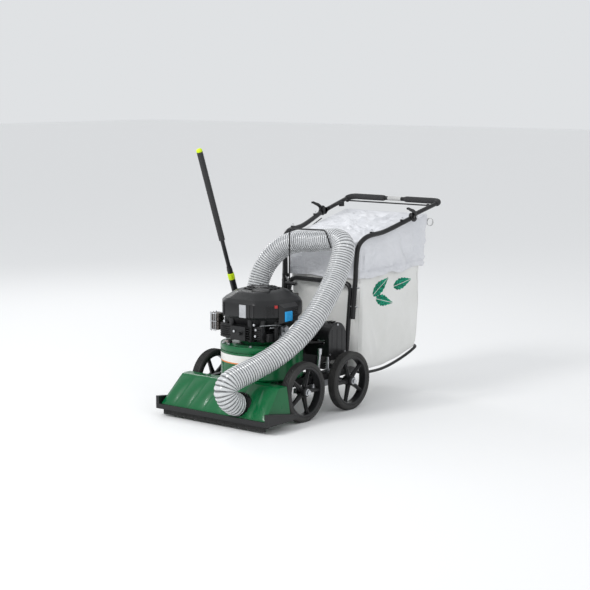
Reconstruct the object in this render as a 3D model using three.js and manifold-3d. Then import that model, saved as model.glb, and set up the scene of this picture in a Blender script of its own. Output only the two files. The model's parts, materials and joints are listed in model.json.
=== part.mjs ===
// A walk-behind leaf vacuum mulcher: nozzle, impeller housing, petrol engine, drive, wheels, handle, bag,
// and a hose kit with its tool and pole. Millimetres. +Z is up, -Y is the nozzle end, +X the operator's left.
// The origin is on the floor, in the middle of the machine's length and width.
import * as THREE from "three";
import { ConvexGeometry } from "three/addons/geometries/ConvexGeometry.js";
import { mergeVertices } from "three/addons/utils/BufferGeometryUtils.js";
import Module from "manifold-3d";

const wasm = await Module();
wasm.setup();

// ---------------------------------------------------------------- driving dimensions
const GAP = 0.3; // between pieces that touch
const RUNNING = 0.4; // round a turning shaft
const FRONT_Y = -795; // front of the bumper
const REAR_Y = 795; // rear of the handle
const HALF_WIDTH = 372; // of the bumper, the widest piece

const WHEEL_R = 152.5;
const TYRE_WIDTH = 52;
const WHEEL_X = 300; // middle of a wheel
const FRONT_AXLE_Y = -431;
const REAR_AXLE_Y = -48;
const STUB_R = 8;
const AXLE_R = 9;
const YOKE_Y = -262; // the cross shaft that the front wheels swing about

const RAIL_X = 216; // middle of a chassis rail
const RAIL_WIDTH = 30;
const RAIL_BOTTOM_Z = 165;
const RAIL_TOP_Z = 195;
const RAIL_REAR_Y = 95;

const HOOD_REAR_Y = -592;
const HOOD_TOP_Z = 205;
const HOOD_BOTTOM_Z = 42;
const SHEET = 4; // steel sheet, drawn a little thick

const SHAFT_Y = -394; // the engine's vertical shaft
const SHAFT_R = 12.5;
const HOUSING_R = 210;
const HOUSING_FLOOR_Z = 200;
const HOUSING_TOP_Z = 340;
const EYE_R = 95; // the impeller's intake
const DECK_STEP_Z = 372;
const ENGINE_BASE_Z = 390;
const BELT_Z = 359; // middle of the drive belt
const CRANK_PULLEY_R = 30;
const GEARBOX_PULLEY_R = 55;
const GEARBOX_SHAFT = [185, -82];

const DUCT_HALF_WIDTH = 93;
const DUCT_BOTTOM_Z = 217;
const DUCT_TOP_Z = 333;
const DUCT_REAR_Y = 150;

const SHROUD_BOTTOM_Z = 512;
const SHROUD_TOP_Z = 648;
const SHROUD_HALF_X = 188;
const SHROUD_HALF_Y = 185;

const TUBE_R = 13; // lower handle
const HOOP_R = 12.5;
const TRAY_R = 8;
const GRIP_TUBE_R = 11.5; // upper handle
const PIVOT = [513, 970]; // Y and Z of the handle's hinge
const PIVOT_X = 300; // where the two lugs meet
const FOAM_R = 17;
const CROSSBAR = [REAR_Y - FOAM_R, 1036]; // Y and Z of the handle's crossbar
const BAIL_PIVOT = [700, 1016.5];
const BAIL_R = 4;

const HOSE_R = 59;
const PORT = new THREE.Vector3(150, -735, 112); // middle of the hose port on the hood's slope
const PORT_DIRECTION = new THREE.Vector3(0, -0.94, 0.34).normalize();
const PORT_LENGTH = 26;

const TOOL = [-283, -108]; // X and Y of the hose tool's vertical tube
const TOOL_BOTTOM_Z = 345;
const TOOL_TOP_Z = 520;
const TOOL_R = 56;
const POLE_FOOT = new THREE.Vector3(-300, -185, 390);
const POLE_DIRECTION = new THREE.Vector3(0, -0.3415, 0.94).normalize();

const UP = new THREE.Vector3(0, 0, 1);
const ALONG_X = new THREE.Vector3(1, 0, 0);

// ---------------------------------------------------------------- solids
const object = new THREE.Group();

function manifoldOf(vertices, triangles) {
  const mesh = new wasm.Mesh({ numProp: 3, vertProperties: vertices, triVerts: triangles });
  return new wasm.Manifold(mesh);
}

// A closed three.js geometry as a solid, turned right side out.
function solid(geometry) {
  const bare = geometry.clone();
  bare.deleteAttribute("normal");
  bare.deleteAttribute("uv");
  const merged = mergeVertices(bare, 1e-3);
  const vertices = new Float32Array(merged.attributes.position.array);
  const triangles = new Uint32Array(merged.index.array);
  const made = manifoldOf(vertices, triangles);
  return made.volume() > 0 ? made : manifoldOf(vertices, triangles.reverse());
}

function geometryOf(shape) {
  const mesh = shape.getMesh();
  const geometry = new THREE.BufferGeometry();
  geometry.setAttribute("position", new THREE.BufferAttribute(mesh.vertProperties, mesh.numProp));
  geometry.setIndex(new THREE.BufferAttribute(mesh.triVerts, 1));
  geometry.computeVertexNormals();
  return geometry;
}

function join(...shapes) {
  return shapes.reduce((whole, shape) => whole.add(shape));
}

function cut(shape, ...tools) {
  return tools.reduce((rest, tool) => rest.subtract(tool), shape);
}

// A cut can leave an offcut on the far side, which isn't part of the piece.
function largest(shape) {
  return shape.decompose().reduce((best, body) => (body.volume() > best.volume() ? body : best));
}

function box([x0, x1], [y0, y1], [z0, z1]) {
  const geometry = new THREE.BoxGeometry(x1 - x0, y1 - y0, z1 - z0);
  return solid(geometry.translate((x0 + x1) / 2, (y0 + y1) / 2, (z0 + z1) / 2));
}

function hull(points) {
  return solid(new ConvexGeometry(points.map(([x, y, z]) => new THREE.Vector3(x, y, z))));
}

// Every point on both sides of the machine's middle plane.
function bothSides(points) {
  return points.flatMap(([x, y, z]) => [[x, y, z], [-x, y, z]]);
}

function upright(r, [z0, z1], x = 0, y = SHAFT_Y, sides = 24) {
  const geometry = new THREE.CylinderGeometry(r, r, z1 - z0, sides);
  return solid(geometry.rotateX(Math.PI / 2).translate(x, y, (z0 + z1) / 2));
}

function crosswise(r, [x0, x1], y, z, sides = 16) {
  const geometry = new THREE.CylinderGeometry(r, r, x1 - x0, sides);
  return solid(geometry.rotateZ(-Math.PI / 2).translate((x0 + x1) / 2, y, z));
}

// A round piece about a line: the profile's points are [radius, distance along the line].
function turned(profile, start, direction, segments = 20) {
  const points = profile.map(([r, s]) => new THREE.Vector2(r, s));
  const toLine = new THREE.Quaternion().setFromUnitVectors(new THREE.Vector3(0, 1, 0), direction);
  const geometry = new THREE.LatheGeometry(points, segments).applyQuaternion(toLine);
  return solid(geometry.translate(start.x, start.y, start.z));
}

function ring(inner, outer, from, to) {
  return [[inner, from], [outer, from], [outer, to], [inner, to], [inner, from]];
}

function circleShape(r, sides) {
  const corner = (i) => {
    const angle = (2 * Math.PI * i) / sides;
    return new THREE.Vector2(r * Math.cos(angle), r * Math.sin(angle));
  };
  return new THREE.Shape(Array.from({ length: sides }, (_, i) => corner(i)));
}

function tubeAlong(path, r, steps, sides = 10) {
  const options = { extrudePath: path, steps, bevelEnabled: false };
  return solid(new THREE.ExtrudeGeometry(circleShape(r, sides), options));
}

function smooth(points) {
  return new THREE.CatmullRomCurve3(points.map(([x, y, z]) => new THREE.Vector3(x, y, z)));
}

// Straight runs between the points, with each corner rounded.
function bent(points, radius) {
  const corners = points.map(([x, y, z]) => new THREE.Vector3(x, y, z));
  const path = new THREE.CurvePath();
  let from = corners[0];
  for (let i = 1; i < corners.length - 1; i += 1) {
    const corner = corners[i];
    const back = corners[i - 1].clone().sub(corner).setLength(radius).add(corner);
    const ahead = corners[i + 1].clone().sub(corner).setLength(radius).add(corner);
    path.add(new THREE.LineCurve3(from, back));
    path.add(new THREE.QuadraticBezierCurve3(back, corner, ahead));
    from = ahead;
  }
  path.add(new THREE.LineCurve3(from, corners[corners.length - 1]));
  return path;
}

function mirrored(points) {
  return [...points, ...points.toReversed().map(([x, y, z]) => [-x, y, z])];
}

// ---------------------------------------------------------------- materials
const finish = (color, roughness, metalness = 0) =>
  new THREE.MeshStandardMaterial({ color, roughness, metalness });
const GREEN_PAINT = finish(0x0a7a45, 0.3);
const BLACK_PAINT = finish(0x1b1b1c, 0.45);
const BLACK_PLASTIC = finish(0x222326, 0.5);
const RUBBER = finish(0x1c1c1c, 0.9);
const FOAM = finish(0x2b2b2b, 1);
const STEEL = finish(0xb8bcc0, 0.35, 0.9);
const CAST_ALUMINIUM = finish(0x8d9093, 0.5, 0.8);
const BLACK_CASTING = finish(0x2a2b2d, 0.6, 0.3);
const WHITE_FELT = finish(0xeceae4, 1);
const GREY_SHELL = finish(0xdfe1e4, 0.6);
const HOSE_PLASTIC = finish(0xc9ced2, 0.3);
const LIME_PLASTIC = finish(0xd8f000, 0.4);
const BLUE_PLASTIC = finish(0x20a8e8, 0.4);

function add(name, shape, material) {
  const mesh = new THREE.Mesh(geometryOf(shape), material);
  mesh.name = name;
  object.add(mesh);
}

// ---------------------------------------------------------------- nozzle
// The hood's outline across the machine, taken in by the sheet's thickness for its inside.
function hoodBlock(inset) {
  const section = [
    [FRONT_Y + 12 + inset, HOOD_BOTTOM_Z - 3 * inset],
    [FRONT_Y + 12 + inset, 62],
    [-655 + inset, 196 - inset],
    [-640 + inset, HOOD_TOP_Z - inset],
    [HOOD_REAR_Y - inset, HOOD_TOP_Z - inset],
    [HOOD_REAR_Y - inset, HOOD_BOTTOM_Z - 3 * inset],
  ];
  const taper = 0.16;
  return hull(bothSides(section.map(([y, z]) => [348 - inset - taper * (z - HOOD_BOTTOM_Z), y, z])));
}

// The duct that rises from the hood to the impeller's intake.
function intakeBlock(inset) {
  const front = HOOD_REAR_Y - SHEET - inset;
  const rear = -290 - inset;
  return hull(bothSides([
    [176 - inset, front, 64 + inset],
    [176 - inset, front, 196 - inset],
    [130 - inset, rear, 150 + inset],
    [130 - inset, rear, 196 - inset],
  ]));
}

function nozzleHood() {
  const shaftFoot = new THREE.Vector3(0, SHAFT_Y, 0);
  const collar = turned(ring(EYE_R, EYE_R + SHEET, 190, HOUSING_FLOOR_Z - GAP), shaftFoot, UP, 32);
  const inside = join(hoodBlock(SHEET), intakeBlock(SHEET));
  const eye = upright(EYE_R, [180, HOUSING_FLOOR_Z], 0, SHAFT_Y, 32);
  const portHole = turned([[0, -40], [HOSE_R - 7, -40], [HOSE_R - 7, 60], [0, 60]], PORT, PORT_DIRECTION, 24);
  const housingSeat = upright(HOUSING_R + GAP, [HOUSING_FLOOR_Z - GAP, HOOD_TOP_Z + 1], 0, SHAFT_Y, 32);
  return cut(join(hoodBlock(0), intakeBlock(0), collar), inside, eye, portHole, housingSeat);
}

function hosePort() {
  const sleeve = turned(ring(HOSE_R - 6, HOSE_R + 2, -30, PORT_LENGTH), PORT, PORT_DIRECTION, 24);
  const bead = turned(ring(HOSE_R - 6, HOSE_R + 8, 0, 14), PORT, PORT_DIRECTION, 24);
  return largest(cut(join(sleeve, bead), hoodBlock(-GAP)));
}

function frontBumper() {
  const bar = box([-HALF_WIDTH, HALF_WIDTH], [FRONT_Y, FRONT_Y + 11.5], [39, 64]);
  const sides = [-1, 1].map((side) => {
    const outer = [side * HALF_WIDTH, side * (HALF_WIDTH - 20)].sort((a, b) => a - b);
    return hull(outer.flatMap((x) => [
      [x, FRONT_Y, 42], [x, FRONT_Y, 104], [x, FRONT_Y + 46, 100], [x, -560, 46], [x, -560, 70],
    ]));
  });
  return join(bar, ...sides);
}

function rubberSkirt() {
  return box([-338, 338], [FRONT_Y + 18, FRONT_Y + 24], [10, 60]);
}

// ---------------------------------------------------------------- impeller housing
function impellerHousing() {
  const outer = upright(HOUSING_R, [HOUSING_FLOOR_Z, HOUSING_TOP_Z], 0, SHAFT_Y, 32);
  const inner = upright(HOUSING_R - SHEET, [HOUSING_FLOOR_Z + SHEET, HOUSING_TOP_Z + 1], 0, SHAFT_Y, 32);
  const eye = upright(EYE_R, [HOUSING_FLOOR_Z - 1, HOUSING_FLOOR_Z + 5], 0, SHAFT_Y, 32);
  const half = DUCT_HALF_WIDTH - SHEET;
  const outlet = box([-half, half], [-230, -170], [DUCT_BOTTOM_Z + SHEET, DUCT_TOP_Z - SHEET]);
  return cut(outer, inner, eye, outlet);
}

// The lid of the housing and the raised deck that carries the engine, with the belt's tunnel inside.
function engineDeck() {
  const lower = upright(HOUSING_R + 2, [HOUSING_TOP_Z + GAP, DECK_STEP_Z], 0, SHAFT_Y, 32);
  const boss = upright(112, [DECK_STEP_Z - 1, ENGINE_BASE_Z], 0, SHAFT_Y, 32);
  const chamber = upright(64, [BELT_Z - 12, BELT_Z + 10]);
  const shaftHole = upright(SHAFT_R + 4, [HOUSING_TOP_Z, ENGINE_BASE_Z + 1]);
  const reach = 240;
  const across = Math.atan2(GEARBOX_SHAFT[1] - SHAFT_Y, GEARBOX_SHAFT[0]);
  const slot = new THREE.BoxGeometry(reach, 116, 22).translate(reach / 2, 0, BELT_Z - 1);
  return cut(join(lower, boss), chamber, shaftHole, solid(slot.rotateZ(across).translate(0, SHAFT_Y, 0)));
}

function exhaustDuct() {
  const front = SHAFT_Y + HOUSING_R;
  const width = [-DUCT_HALF_WIDTH, DUCT_HALF_WIDTH];
  const outer = box(width, [front - 24, DUCT_REAR_Y], [DUCT_BOTTOM_Z, DUCT_TOP_Z]);
  const half = DUCT_HALF_WIDTH - SHEET;
  const bore = [DUCT_BOTTOM_Z + SHEET, DUCT_TOP_Z - SHEET];
  const inner = box([-half, half], [front - 30, DUCT_REAR_Y + 1], bore);
  const flange = box([-half - 8, half + 8], [-60, -56], [DUCT_BOTTOM_Z - 5, DUCT_TOP_Z + 14]);
  return cut(join(outer, flange), inner, upright(HOUSING_R + GAP, [180, 360], 0, SHAFT_Y, 32));
}

function impeller() {
  const hub = upright(28, [222, 326]);
  const plate = upright(188, [322, 328], 0, SHAFT_Y, 32);
  const blades = Array.from({ length: 6 }, (_, i) => {
    const blade = new THREE.BoxGeometry(166, 5, 92).translate(105, 0, 277);
    return solid(blade.rotateZ((i * Math.PI) / 3).translate(0, SHAFT_Y, 0));
  });
  return cut(join(hub, plate, ...blades), upright(SHAFT_R + GAP, [200, 340]));
}

// ---------------------------------------------------------------- chassis
function chassis() {
  const rails = [-1, 1].flatMap((side) => {
    const across = (low, high) => [side * (RAIL_X + low), side * (RAIL_X + high)].sort((a, b) => a - b);
    const rail = box(across(-15, 15), [HOOD_REAR_Y + GAP, RAIL_REAR_Y], [RAIL_BOTTOM_Z, RAIL_TOP_Z]);
    const yokeBracket = box(across(-8, 8), [YOKE_Y - 22, YOKE_Y + 22], [134, RAIL_BOTTOM_Z + 1]);
    const axleBracket = box(across(-8, 8), [REAR_AXLE_Y - 22, REAR_AXLE_Y + 22], [134, RAIL_BOTTOM_Z + 1]);
    const shelf = box(across(-45, -10), [-470, -320], [RAIL_TOP_Z - 6, RAIL_TOP_Z + 1]);
    return [rail, yokeBracket, axleBracket, shelf];
  });
  const reach = [-RAIL_X, RAIL_X];
  const ties = [
    box(reach, [-232, -202], [RAIL_BOTTOM_Z, RAIL_TOP_Z]),
    box(reach, [56, 86], [RAIL_BOTTOM_Z, RAIL_TOP_Z]),
  ];
  const coverPost = box([212, 231], [-28, -16], [190, 330]);
  const yokeBore = crosswise(AXLE_R + RUNNING, [-240, 240], YOKE_Y, WHEEL_R);
  const axleBore = crosswise(AXLE_R + RUNNING, [-240, 240], REAR_AXLE_Y, WHEEL_R);
  return cut(join(...rails, ...ties, coverPost), yokeBore, axleBore);
}

// The cross shaft, its two arms with the front wheels' stub axles, and the height lever, welded together.
function heightYoke() {
  const armX = [249, 261];
  const sides = [-1, 1].flatMap((side) => {
    const span = armX.map((x) => side * x).sort((a, b) => a - b);
    const arm = box(span, [FRONT_AXLE_Y - 14, YOKE_Y + 14], [WHEEL_R - 12, WHEEL_R + 12]);
    const stub = crosswise(STUB_R, [side * 255, side * 342].sort((a, b) => a - b), FRONT_AXLE_Y, WHEEL_R);
    const nut = crosswise(13, [side * 331, side * 342].sort((a, b) => a - b), FRONT_AXLE_Y, WHEEL_R, 6);
    return [arm, stub, nut];
  });
  const shaft = crosswise(AXLE_R, [-255, 255], YOKE_Y, WHEEL_R);
  const lever = hull([
    [251, YOKE_Y - 10, WHEEL_R], [259, YOKE_Y - 10, WHEEL_R], [251, YOKE_Y + 10, WHEEL_R],
    [259, YOKE_Y + 10, WHEEL_R], [251, YOKE_Y + 18, 318], [259, YOKE_Y + 18, 318],
    [251, YOKE_Y + 30, 318], [259, YOKE_Y + 30, 318],
  ]);
  const knob = upright(11, [312, 342], 255, YOKE_Y + 24, 12);
  return join(shaft, lever, knob, ...sides);
}

function rearAxle() {
  const rod = crosswise(AXLE_R, [-342, 342], REAR_AXLE_Y, WHEEL_R);
  const nuts = [-1, 1].map((side) =>
    crosswise(13, [side * 331, side * 342].sort((a, b) => a - b), REAR_AXLE_Y, WHEEL_R, 6));
  return join(rod, ...nuts);
}

// ---------------------------------------------------------------- wheels
function tyre(x, y) {
  const half = TYRE_WIDTH / 2;
  const profile = [
    [127.5, 4 - half], [146, -half], [150.5, 4 - half], [WHEEL_R, 12 - half], [WHEEL_R, half - 12],
    [150.5, half - 4], [146, half], [127.5, half - 4], [127.5, 4 - half],
  ];
  return turned(profile, new THREE.Vector3(x, y, WHEEL_R), ALONG_X, 24);
}

function wheel(x, y, firstSpoke, boreR) {
  const centre = new THREE.Vector3(x, y, WHEEL_R);
  const rim = turned(ring(117, 127, -21, 21), centre, ALONG_X, 24);
  const hub = turned(ring(boreR, 25, -29, 29), centre, ALONG_X, 12);
  const spokes = Array.from({ length: 5 }, (_, i) => {
    const spoke = new THREE.BoxGeometry(14, 21, 102).translate(0, 0, 70);
    const turn = firstSpoke - (2 * Math.PI * i) / 5;
    return solid(spoke.rotateX(turn).translate(x, y, WHEEL_R));
  });
  return cut(join(rim, hub, ...spokes), crosswise(boreR, [x - 40, x + 40], y, WHEEL_R, 12));
}

const WHEELS = [
  ["front_left", WHEEL_X, FRONT_AXLE_Y, -21, STUB_R],
  ["front_right", -WHEEL_X, FRONT_AXLE_Y, -50, STUB_R],
  ["rear_left", WHEEL_X, REAR_AXLE_Y, 20, AXLE_R],
  ["rear_right", -WHEEL_X, REAR_AXLE_Y, -5, AXLE_R],
];

// ---------------------------------------------------------------- drive
function transmission() {
  const [x, y] = GEARBOX_SHAFT;
  const body = box([x - 50, x + 12], [y - 40, REAR_AXLE_Y + 36], [120, 188]);
  const neck = upright(14, [187, 206], x, y, 12);
  const axleBore = crosswise(AXLE_R + RUNNING, [x - 60, x + 30], REAR_AXLE_Y, WHEEL_R);
  return cut(join(body, neck), axleBore, upright(8 + RUNNING, [180, 210], x, y));
}

// A V-pulley with its rims proud of the belt's groove.
function pulley(r, x, y) {
  const rims = [BELT_Z - 8, BELT_Z + 5].map((z) => upright(r + 2, [z, z + 3], x, y));
  return join(upright(r - 5, [BELT_Z - 8, BELT_Z + 8], x, y), ...rims);
}

function gearboxInput() {
  const [x, y] = GEARBOX_SHAFT;
  return join(upright(8, [189, BELT_Z + 8], x, y, 12), pulley(GEARBOX_PULLEY_R, x, y));
}

function beltOutline(offset) {
  const [x, y] = GEARBOX_SHAFT;
  const ends = [[0, SHAFT_Y, CRANK_PULLEY_R], [x, y, GEARBOX_PULLEY_R]];
  const corners = ends.flatMap(([cx, cy, r]) => Array.from({ length: 24 }, (_, i) => {
    const angle = (Math.PI * i) / 12;
    return [cx + (r + offset) * Math.cos(angle), cy + (r + offset) * Math.sin(angle)];
  }));
  return (z0, z1) => hull(corners.flatMap(([cx, cy]) => [[cx, cy, z0], [cx, cy, z1]]));
}

function driveBelt() {
  return cut(beltOutline(3)(BELT_Z - 4.5, BELT_Z + 4.5), beltOutline(-4)(BELT_Z - 6, BELT_Z + 6));
}

// The D-shaped cover over the gearbox pulley: flat below, round on top.
function coverBlock(inset) {
  const centre = [-82.5, 382.5];
  const r = 72.5 - inset;
  const arc = Array.from({ length: 13 }, (_, i) => {
    const angle = (Math.PI * i) / 12;
    return [centre[0] + r * Math.cos(angle), centre[1] + r * Math.sin(angle)];
  });
  const foot = 285 - 3 * inset;
  const section = [...arc, [centre[0] - r, foot], [centre[0] + r, foot]];
  return hull(section.flatMap(([y, z]) => [[100 + inset, y, z], [250 - inset, y, z]]));
}

function driveCover() {
  const ribs = [150, 200].map((x) => box([x - 4, x + 4], [-100, -65], [450, 461]));
  const beltSlot = box([60, 225], [-175, -100], [BELT_Z - 13, BELT_Z + 13]);
  return cut(join(coverBlock(0), ...ribs), coverBlock(3), beltSlot);
}

// ---------------------------------------------------------------- engine
function crankshaft() {
  return join(upright(SHAFT_R, [222, 604], 0, SHAFT_Y, 16), pulley(CRANK_PULLEY_R, 0, SHAFT_Y));
}

function flywheel() {
  const rim = upright(95, [552, 574], 0, SHAFT_Y, 28);
  const fins = Array.from({ length: 10 }, (_, i) => {
    const fin = new THREE.BoxGeometry(34, 4, 22).translate(72, 0, 584);
    return solid(fin.rotateZ((i * Math.PI) / 5).translate(0, SHAFT_Y, 0));
  });
  return cut(join(rim, ...fins), upright(SHAFT_R + GAP, [540, 600], 0, SHAFT_Y, 16));
}

// The plan of the shroud and of the engine base under it, as corners at one height.
function shroudRing(z, scale) {
  const plan = [[SHROUD_HALF_X, 95], [105, SHROUD_HALF_Y]];
  return plan.flatMap(([x, y]) => [[x, y], [-x, y], [x, -y], [-x, -y]])
    .map(([x, y]) => [x * scale, SHAFT_Y + y * scale, z]);
}

// The dished base that carries the shroud, with room for the carburettor and the exhaust pipe.
function blowerBase() {
  const foot = 446;
  const rise = 26;
  const thin = 5;
  const inner = 1 - thin / SHROUD_HALF_X;
  const rim = SHROUD_BOTTOM_Z - GAP;
  const outer = hull([...shroudRing(foot, 0.68), ...shroudRing(foot + rise, 0.8), ...shroudRing(rim, 0.92)]);
  const dish = hull([
    ...shroudRing(foot + thin, 0.68 * inner), ...shroudRing(foot + rise, 0.8 * inner),
    ...shroudRing(rim + 1, 0.92 * inner),
  ]);
  const carburettorRoom = box([100, 190], [-446, -390], [foot - 5, 476]);
  const pipeRoom = box([-210, -90], [-480, -455], [foot - 5, 462]);
  return cut(outer, dish, carburettorRoom, pipeRoom);
}

// The finned cylinder that stands out from the crankcase towards the nozzle.
function cylinder() {
  const rear = SHAFT_Y - 112.5;
  const barrel = box([-48, 48], [rear - 78, rear + 20], [404, 474]);
  const fins = Array.from({ length: 6 }, (_, i) => {
    const z = 408 + 12 * i;
    return box([-66, 66], [rear - 72, rear - 4], [z, z + 3]);
  });
  const plugFoot = new THREE.Vector3(20, rear - 77, 440);
  const plug = turned([[0, 0], [9, 0], [9, 20], [0, 20]], plugFoot, new THREE.Vector3(0, -1, 0), 6);
  return join(barrel, plug, ...fins);
}

// The engine's block: crankcase, cylinder and blower base in one casting.
function crankcase() {
  const plan = [[118, 70], [70, 112]];
  const corners = plan.flatMap(([x, y]) => [[x, y], [-x, y], [x, -y], [-x, -y]]);
  const ringAt = (z, scale) => corners.map(([x, y]) => [x * scale, SHAFT_Y + y * scale, z]);
  const foot = hull([...ringAt(ENGINE_BASE_Z + GAP, 1), ...ringAt(402, 1)]);
  const body = hull([...ringAt(401, 0.9), ...ringAt(470, 0.9), ...ringAt(478, 0.8)]);
  const neck = upright(40, [470, 540]);
  const block = join(foot, body, neck, cylinder(), blowerBase());
  return largest(cut(block, upright(SHAFT_R + RUNNING, [380, 560], 0, SHAFT_Y, 20)));
}

const MUFFLER = { x: -225, y: -481, halfX: 26, halfY: 26, z0: 422, z1: 512 };

function muffler() {
  const { x, y, halfX, halfY, z0, z1 } = MUFFLER;
  const points = [[halfX, halfY - 8], [halfX - 8, halfY]].flatMap(([dx, dy]) =>
    [[dx, dy], [-dx, dy], [dx, -dy], [-dx, -dy]]);
  const shell = hull(points.flatMap(([dx, dy]) => [[x + dx, y + dy, z0], [x + dx, y + dy, z1]]));
  const pipe = box([x + halfX - 2, -106.6], [y + 4, y + 22], [436, 458]);
  return join(shell, pipe);
}

// A cage of bars round the muffler.
function mufflerGuard() {
  const { x, y, halfX, halfY, z0, z1 } = MUFFLER;
  const bars = [z0 + 2, (z0 + z1) / 2 - 2, z1 - 6].map((z) => cut(
    box([x - halfX - 6, x + halfX - 8], [y - halfY - 6, y + halfY + 6], [z, z + 5]),
    box([x - halfX - 2, x + halfX + 2], [y - halfY - 2, y + halfY + 2], [z - 1, z + 6]),
  ));
  const posts = [-1, 0, 1].flatMap((step) => [
    box([x - halfX - 6, x - halfX - 2], [y + 20 * step - 3, y + 20 * step + 3], [z0 - 4, z1 + 4]),
    box([x + 12 * step - 7, x + 12 * step - 3], [y - halfY - 6, y - halfY - 2], [z0 - 4, z1 + 4]),
  ]);
  return join(...bars, ...posts);
}

function shroudBlock(inset) {
  const levels = [
    [SHROUD_BOTTOM_Z - 3 * inset, 0.95],
    [SHROUD_BOTTOM_Z + 12, 1],
    [592, 1],
    [636 - inset, 0.68],
    [SHROUD_TOP_Z - inset, 0.55],
  ];
  return hull(levels.flatMap(([z, scale]) => shroudRing(z, scale - inset / SHROUD_HALF_X)));
}

function engineShroud() {
  const airHole = upright(70, [600, 660], 0, SHAFT_Y, 28);
  return cut(shroudBlock(0), shroudBlock(3.5), airHole);
}

// The recoil starter's louvred lid over the shroud's air intake.
function starterCover() {
  const lid = upright(84, [SHROUD_TOP_Z + GAP, 660], 0, SHAFT_Y, 28);
  const slots = Array.from({ length: 10 }, (_, i) => {
    const slot = new THREE.BoxGeometry(34, 9, 30).translate(55, 0, 654);
    return solid(slot.rotateZ((i * Math.PI) / 5).translate(0, SHAFT_Y, 0));
  });
  return cut(lid, ...slots);
}

const GRIP_PLACE = [108, -292];

function starterGrip() {
  const [x, y] = GRIP_PLACE;
  const handle = crosswise(9, [x - 34, x + 34], y, 671, 12);
  return join(handle, upright(6, [SHROUD_TOP_Z + 6, 672], x, y, 10));
}

function airFilterCover() {
  const x = SHROUD_HALF_X + GAP;
  const y0 = -488;
  const y1 = -352;
  return hull([
    [x, y0, 492], [x, y1, 492], [x, y0, 590], [x, y1, 590],
    [x + 26, y0 + 14, 500], [x + 26, y1 - 14, 500], [x + 26, y0 + 14, 574], [x + 26, y1 - 14, 574],
  ]);
}

function filterLatch() {
  const x = SHROUD_HALF_X + 26 + 2 * GAP;
  return hull([
    [x, -471, 502], [x, -415, 502], [x, -471, 556], [x, -415, 556],
    [x + 8, -468, 505], [x + 8, -418, 505], [x + 8, -468, 553], [x + 8, -418, 553],
  ]);
}

function carburettor() {
  const body = box([106.8, 168], [-440, -396], [426, 472]);
  const bowl = upright(20, [404, 427], 140, -418, 16);
  const throat = crosswise(17, [150, 184], -418, 456, 16);
  return join(body, bowl, throat);
}

function fuelTank() {
  const front = SHAFT_Y + SHROUD_HALF_Y + 4;
  return hull([
    [-150, front, 506], [60, front, 506], [-150, front, 604], [60, front, 604],
    [-132, -146, 514], [42, -146, 514], [-132, -146, 600], [42, -146, 600],
  ]);
}

const FUEL_CAP = [-84, -178];

function fuelCap() {
  const [x, y] = FUEL_CAP;
  const wings = box([x - 24, x + 24], [y - 4, y + 4], [612, 626]);
  return join(upright(25, [604 + GAP, 620], x, y, 18), wings);
}

// ---------------------------------------------------------------- frame and handle
function frameHoop() {
  const legs = mirrored([[207, 45, RAIL_TOP_Z + 2], [207, 90, 640]]);
  return tubeAlong(bent(legs, 52), HOOP_R, 24, 8);
}

// The lug in which a tube ends at the hinge, from the tube's end to a disc about the hinge.
function lug([x0, x1], [tubeY, tubeZ], r) {
  const disc = crosswise(20, [x0, x1], PIVOT[0], PIVOT[1], 20);
  const neck = hull([x0, x1].flatMap((x) => [
    [x, tubeY, tubeZ - r], [x, tubeY, tubeZ + r], [x, PIVOT[0], PIVOT[1] - 16], [x, PIVOT[0], PIVOT[1] + 16],
  ]));
  return join(disc, neck);
}

function lowerHandle(side) {
  const route = smooth([
    [234, 71, 455], [235, 80, 560], [237, 88, 660], [241, 90, 760], [251, 97, 842], [264, 142, 882],
    [277, 288, 903], [304, 480, 957],
  ].map(([x, y, z]) => [side * x, y, z]));
  const lugX = [side * (PIVOT_X + GAP), side * (PIVOT_X + 8)].sort((a, b) => a - b);
  return join(tubeAlong(route, TUBE_R, 16, 8), lug(lugX, [478, 957], 11));
}

const THROTTLE = [655, 1004]; // Y and Z of the throttle lever's pin

// The throttle's block on the inner side of the right-hand upper tube, with the lever's pin.
function throttleBracket() {
  const [y, z] = THROTTLE;
  const block = box([-294, -277], [y - 17, y + 17], [z - 20, z + 10]);
  return join(block, crosswise(3, [-278, -271], y, z, 10));
}

function upperHandle() {
  const end = [545, 980];
  const run = mirrored([[296, ...end], [311, ...CROSSBAR]]);
  const lugs = [-1, 1].map((side) =>
    lug([side * (PIVOT_X - 8), side * (PIVOT_X - GAP)].sort((a, b) => a - b), [547, 980], 10));
  const pins = [-1, 1].map((side) =>
    crosswise(BAIL_R, [side * 281, side * 300].sort((a, b) => a - b), ...BAIL_PIVOT, 10));
  return join(tubeAlong(bent(run, 48), GRIP_TUBE_R, 28, 8), ...lugs, ...pins, throttleBracket());
}

function foamGrip(side) {
  const centre = new THREE.Vector3(0, ...CROSSBAR);
  return turned(ring(GRIP_TUBE_R + 0.5, FOAM_R, 66, 250), centre, ALONG_X.clone().multiplyScalar(side), 16);
}

function camLever(side) {
  const across = (x0, x1) => [side * x0, side * x1].sort((a, b) => a - b);
  const x = PIVOT_X + 8 + GAP;
  const hub = crosswise(28, across(x, x + 10), ...PIVOT, 20);
  const bolt = crosswise(9, across(x + 9, x + 26), ...PIVOT, 6);
  const arm = hull(across(x + 10 - 1, x + 22).flatMap((ax) => [
    [ax, 505, 952], [ax, 522, 984], [ax, 486, 1006], [ax, 440, 1024], [ax, 427, 1020], [ax, 452, 1004],
  ]));
  return join(hub, bolt, arm);
}

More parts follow.
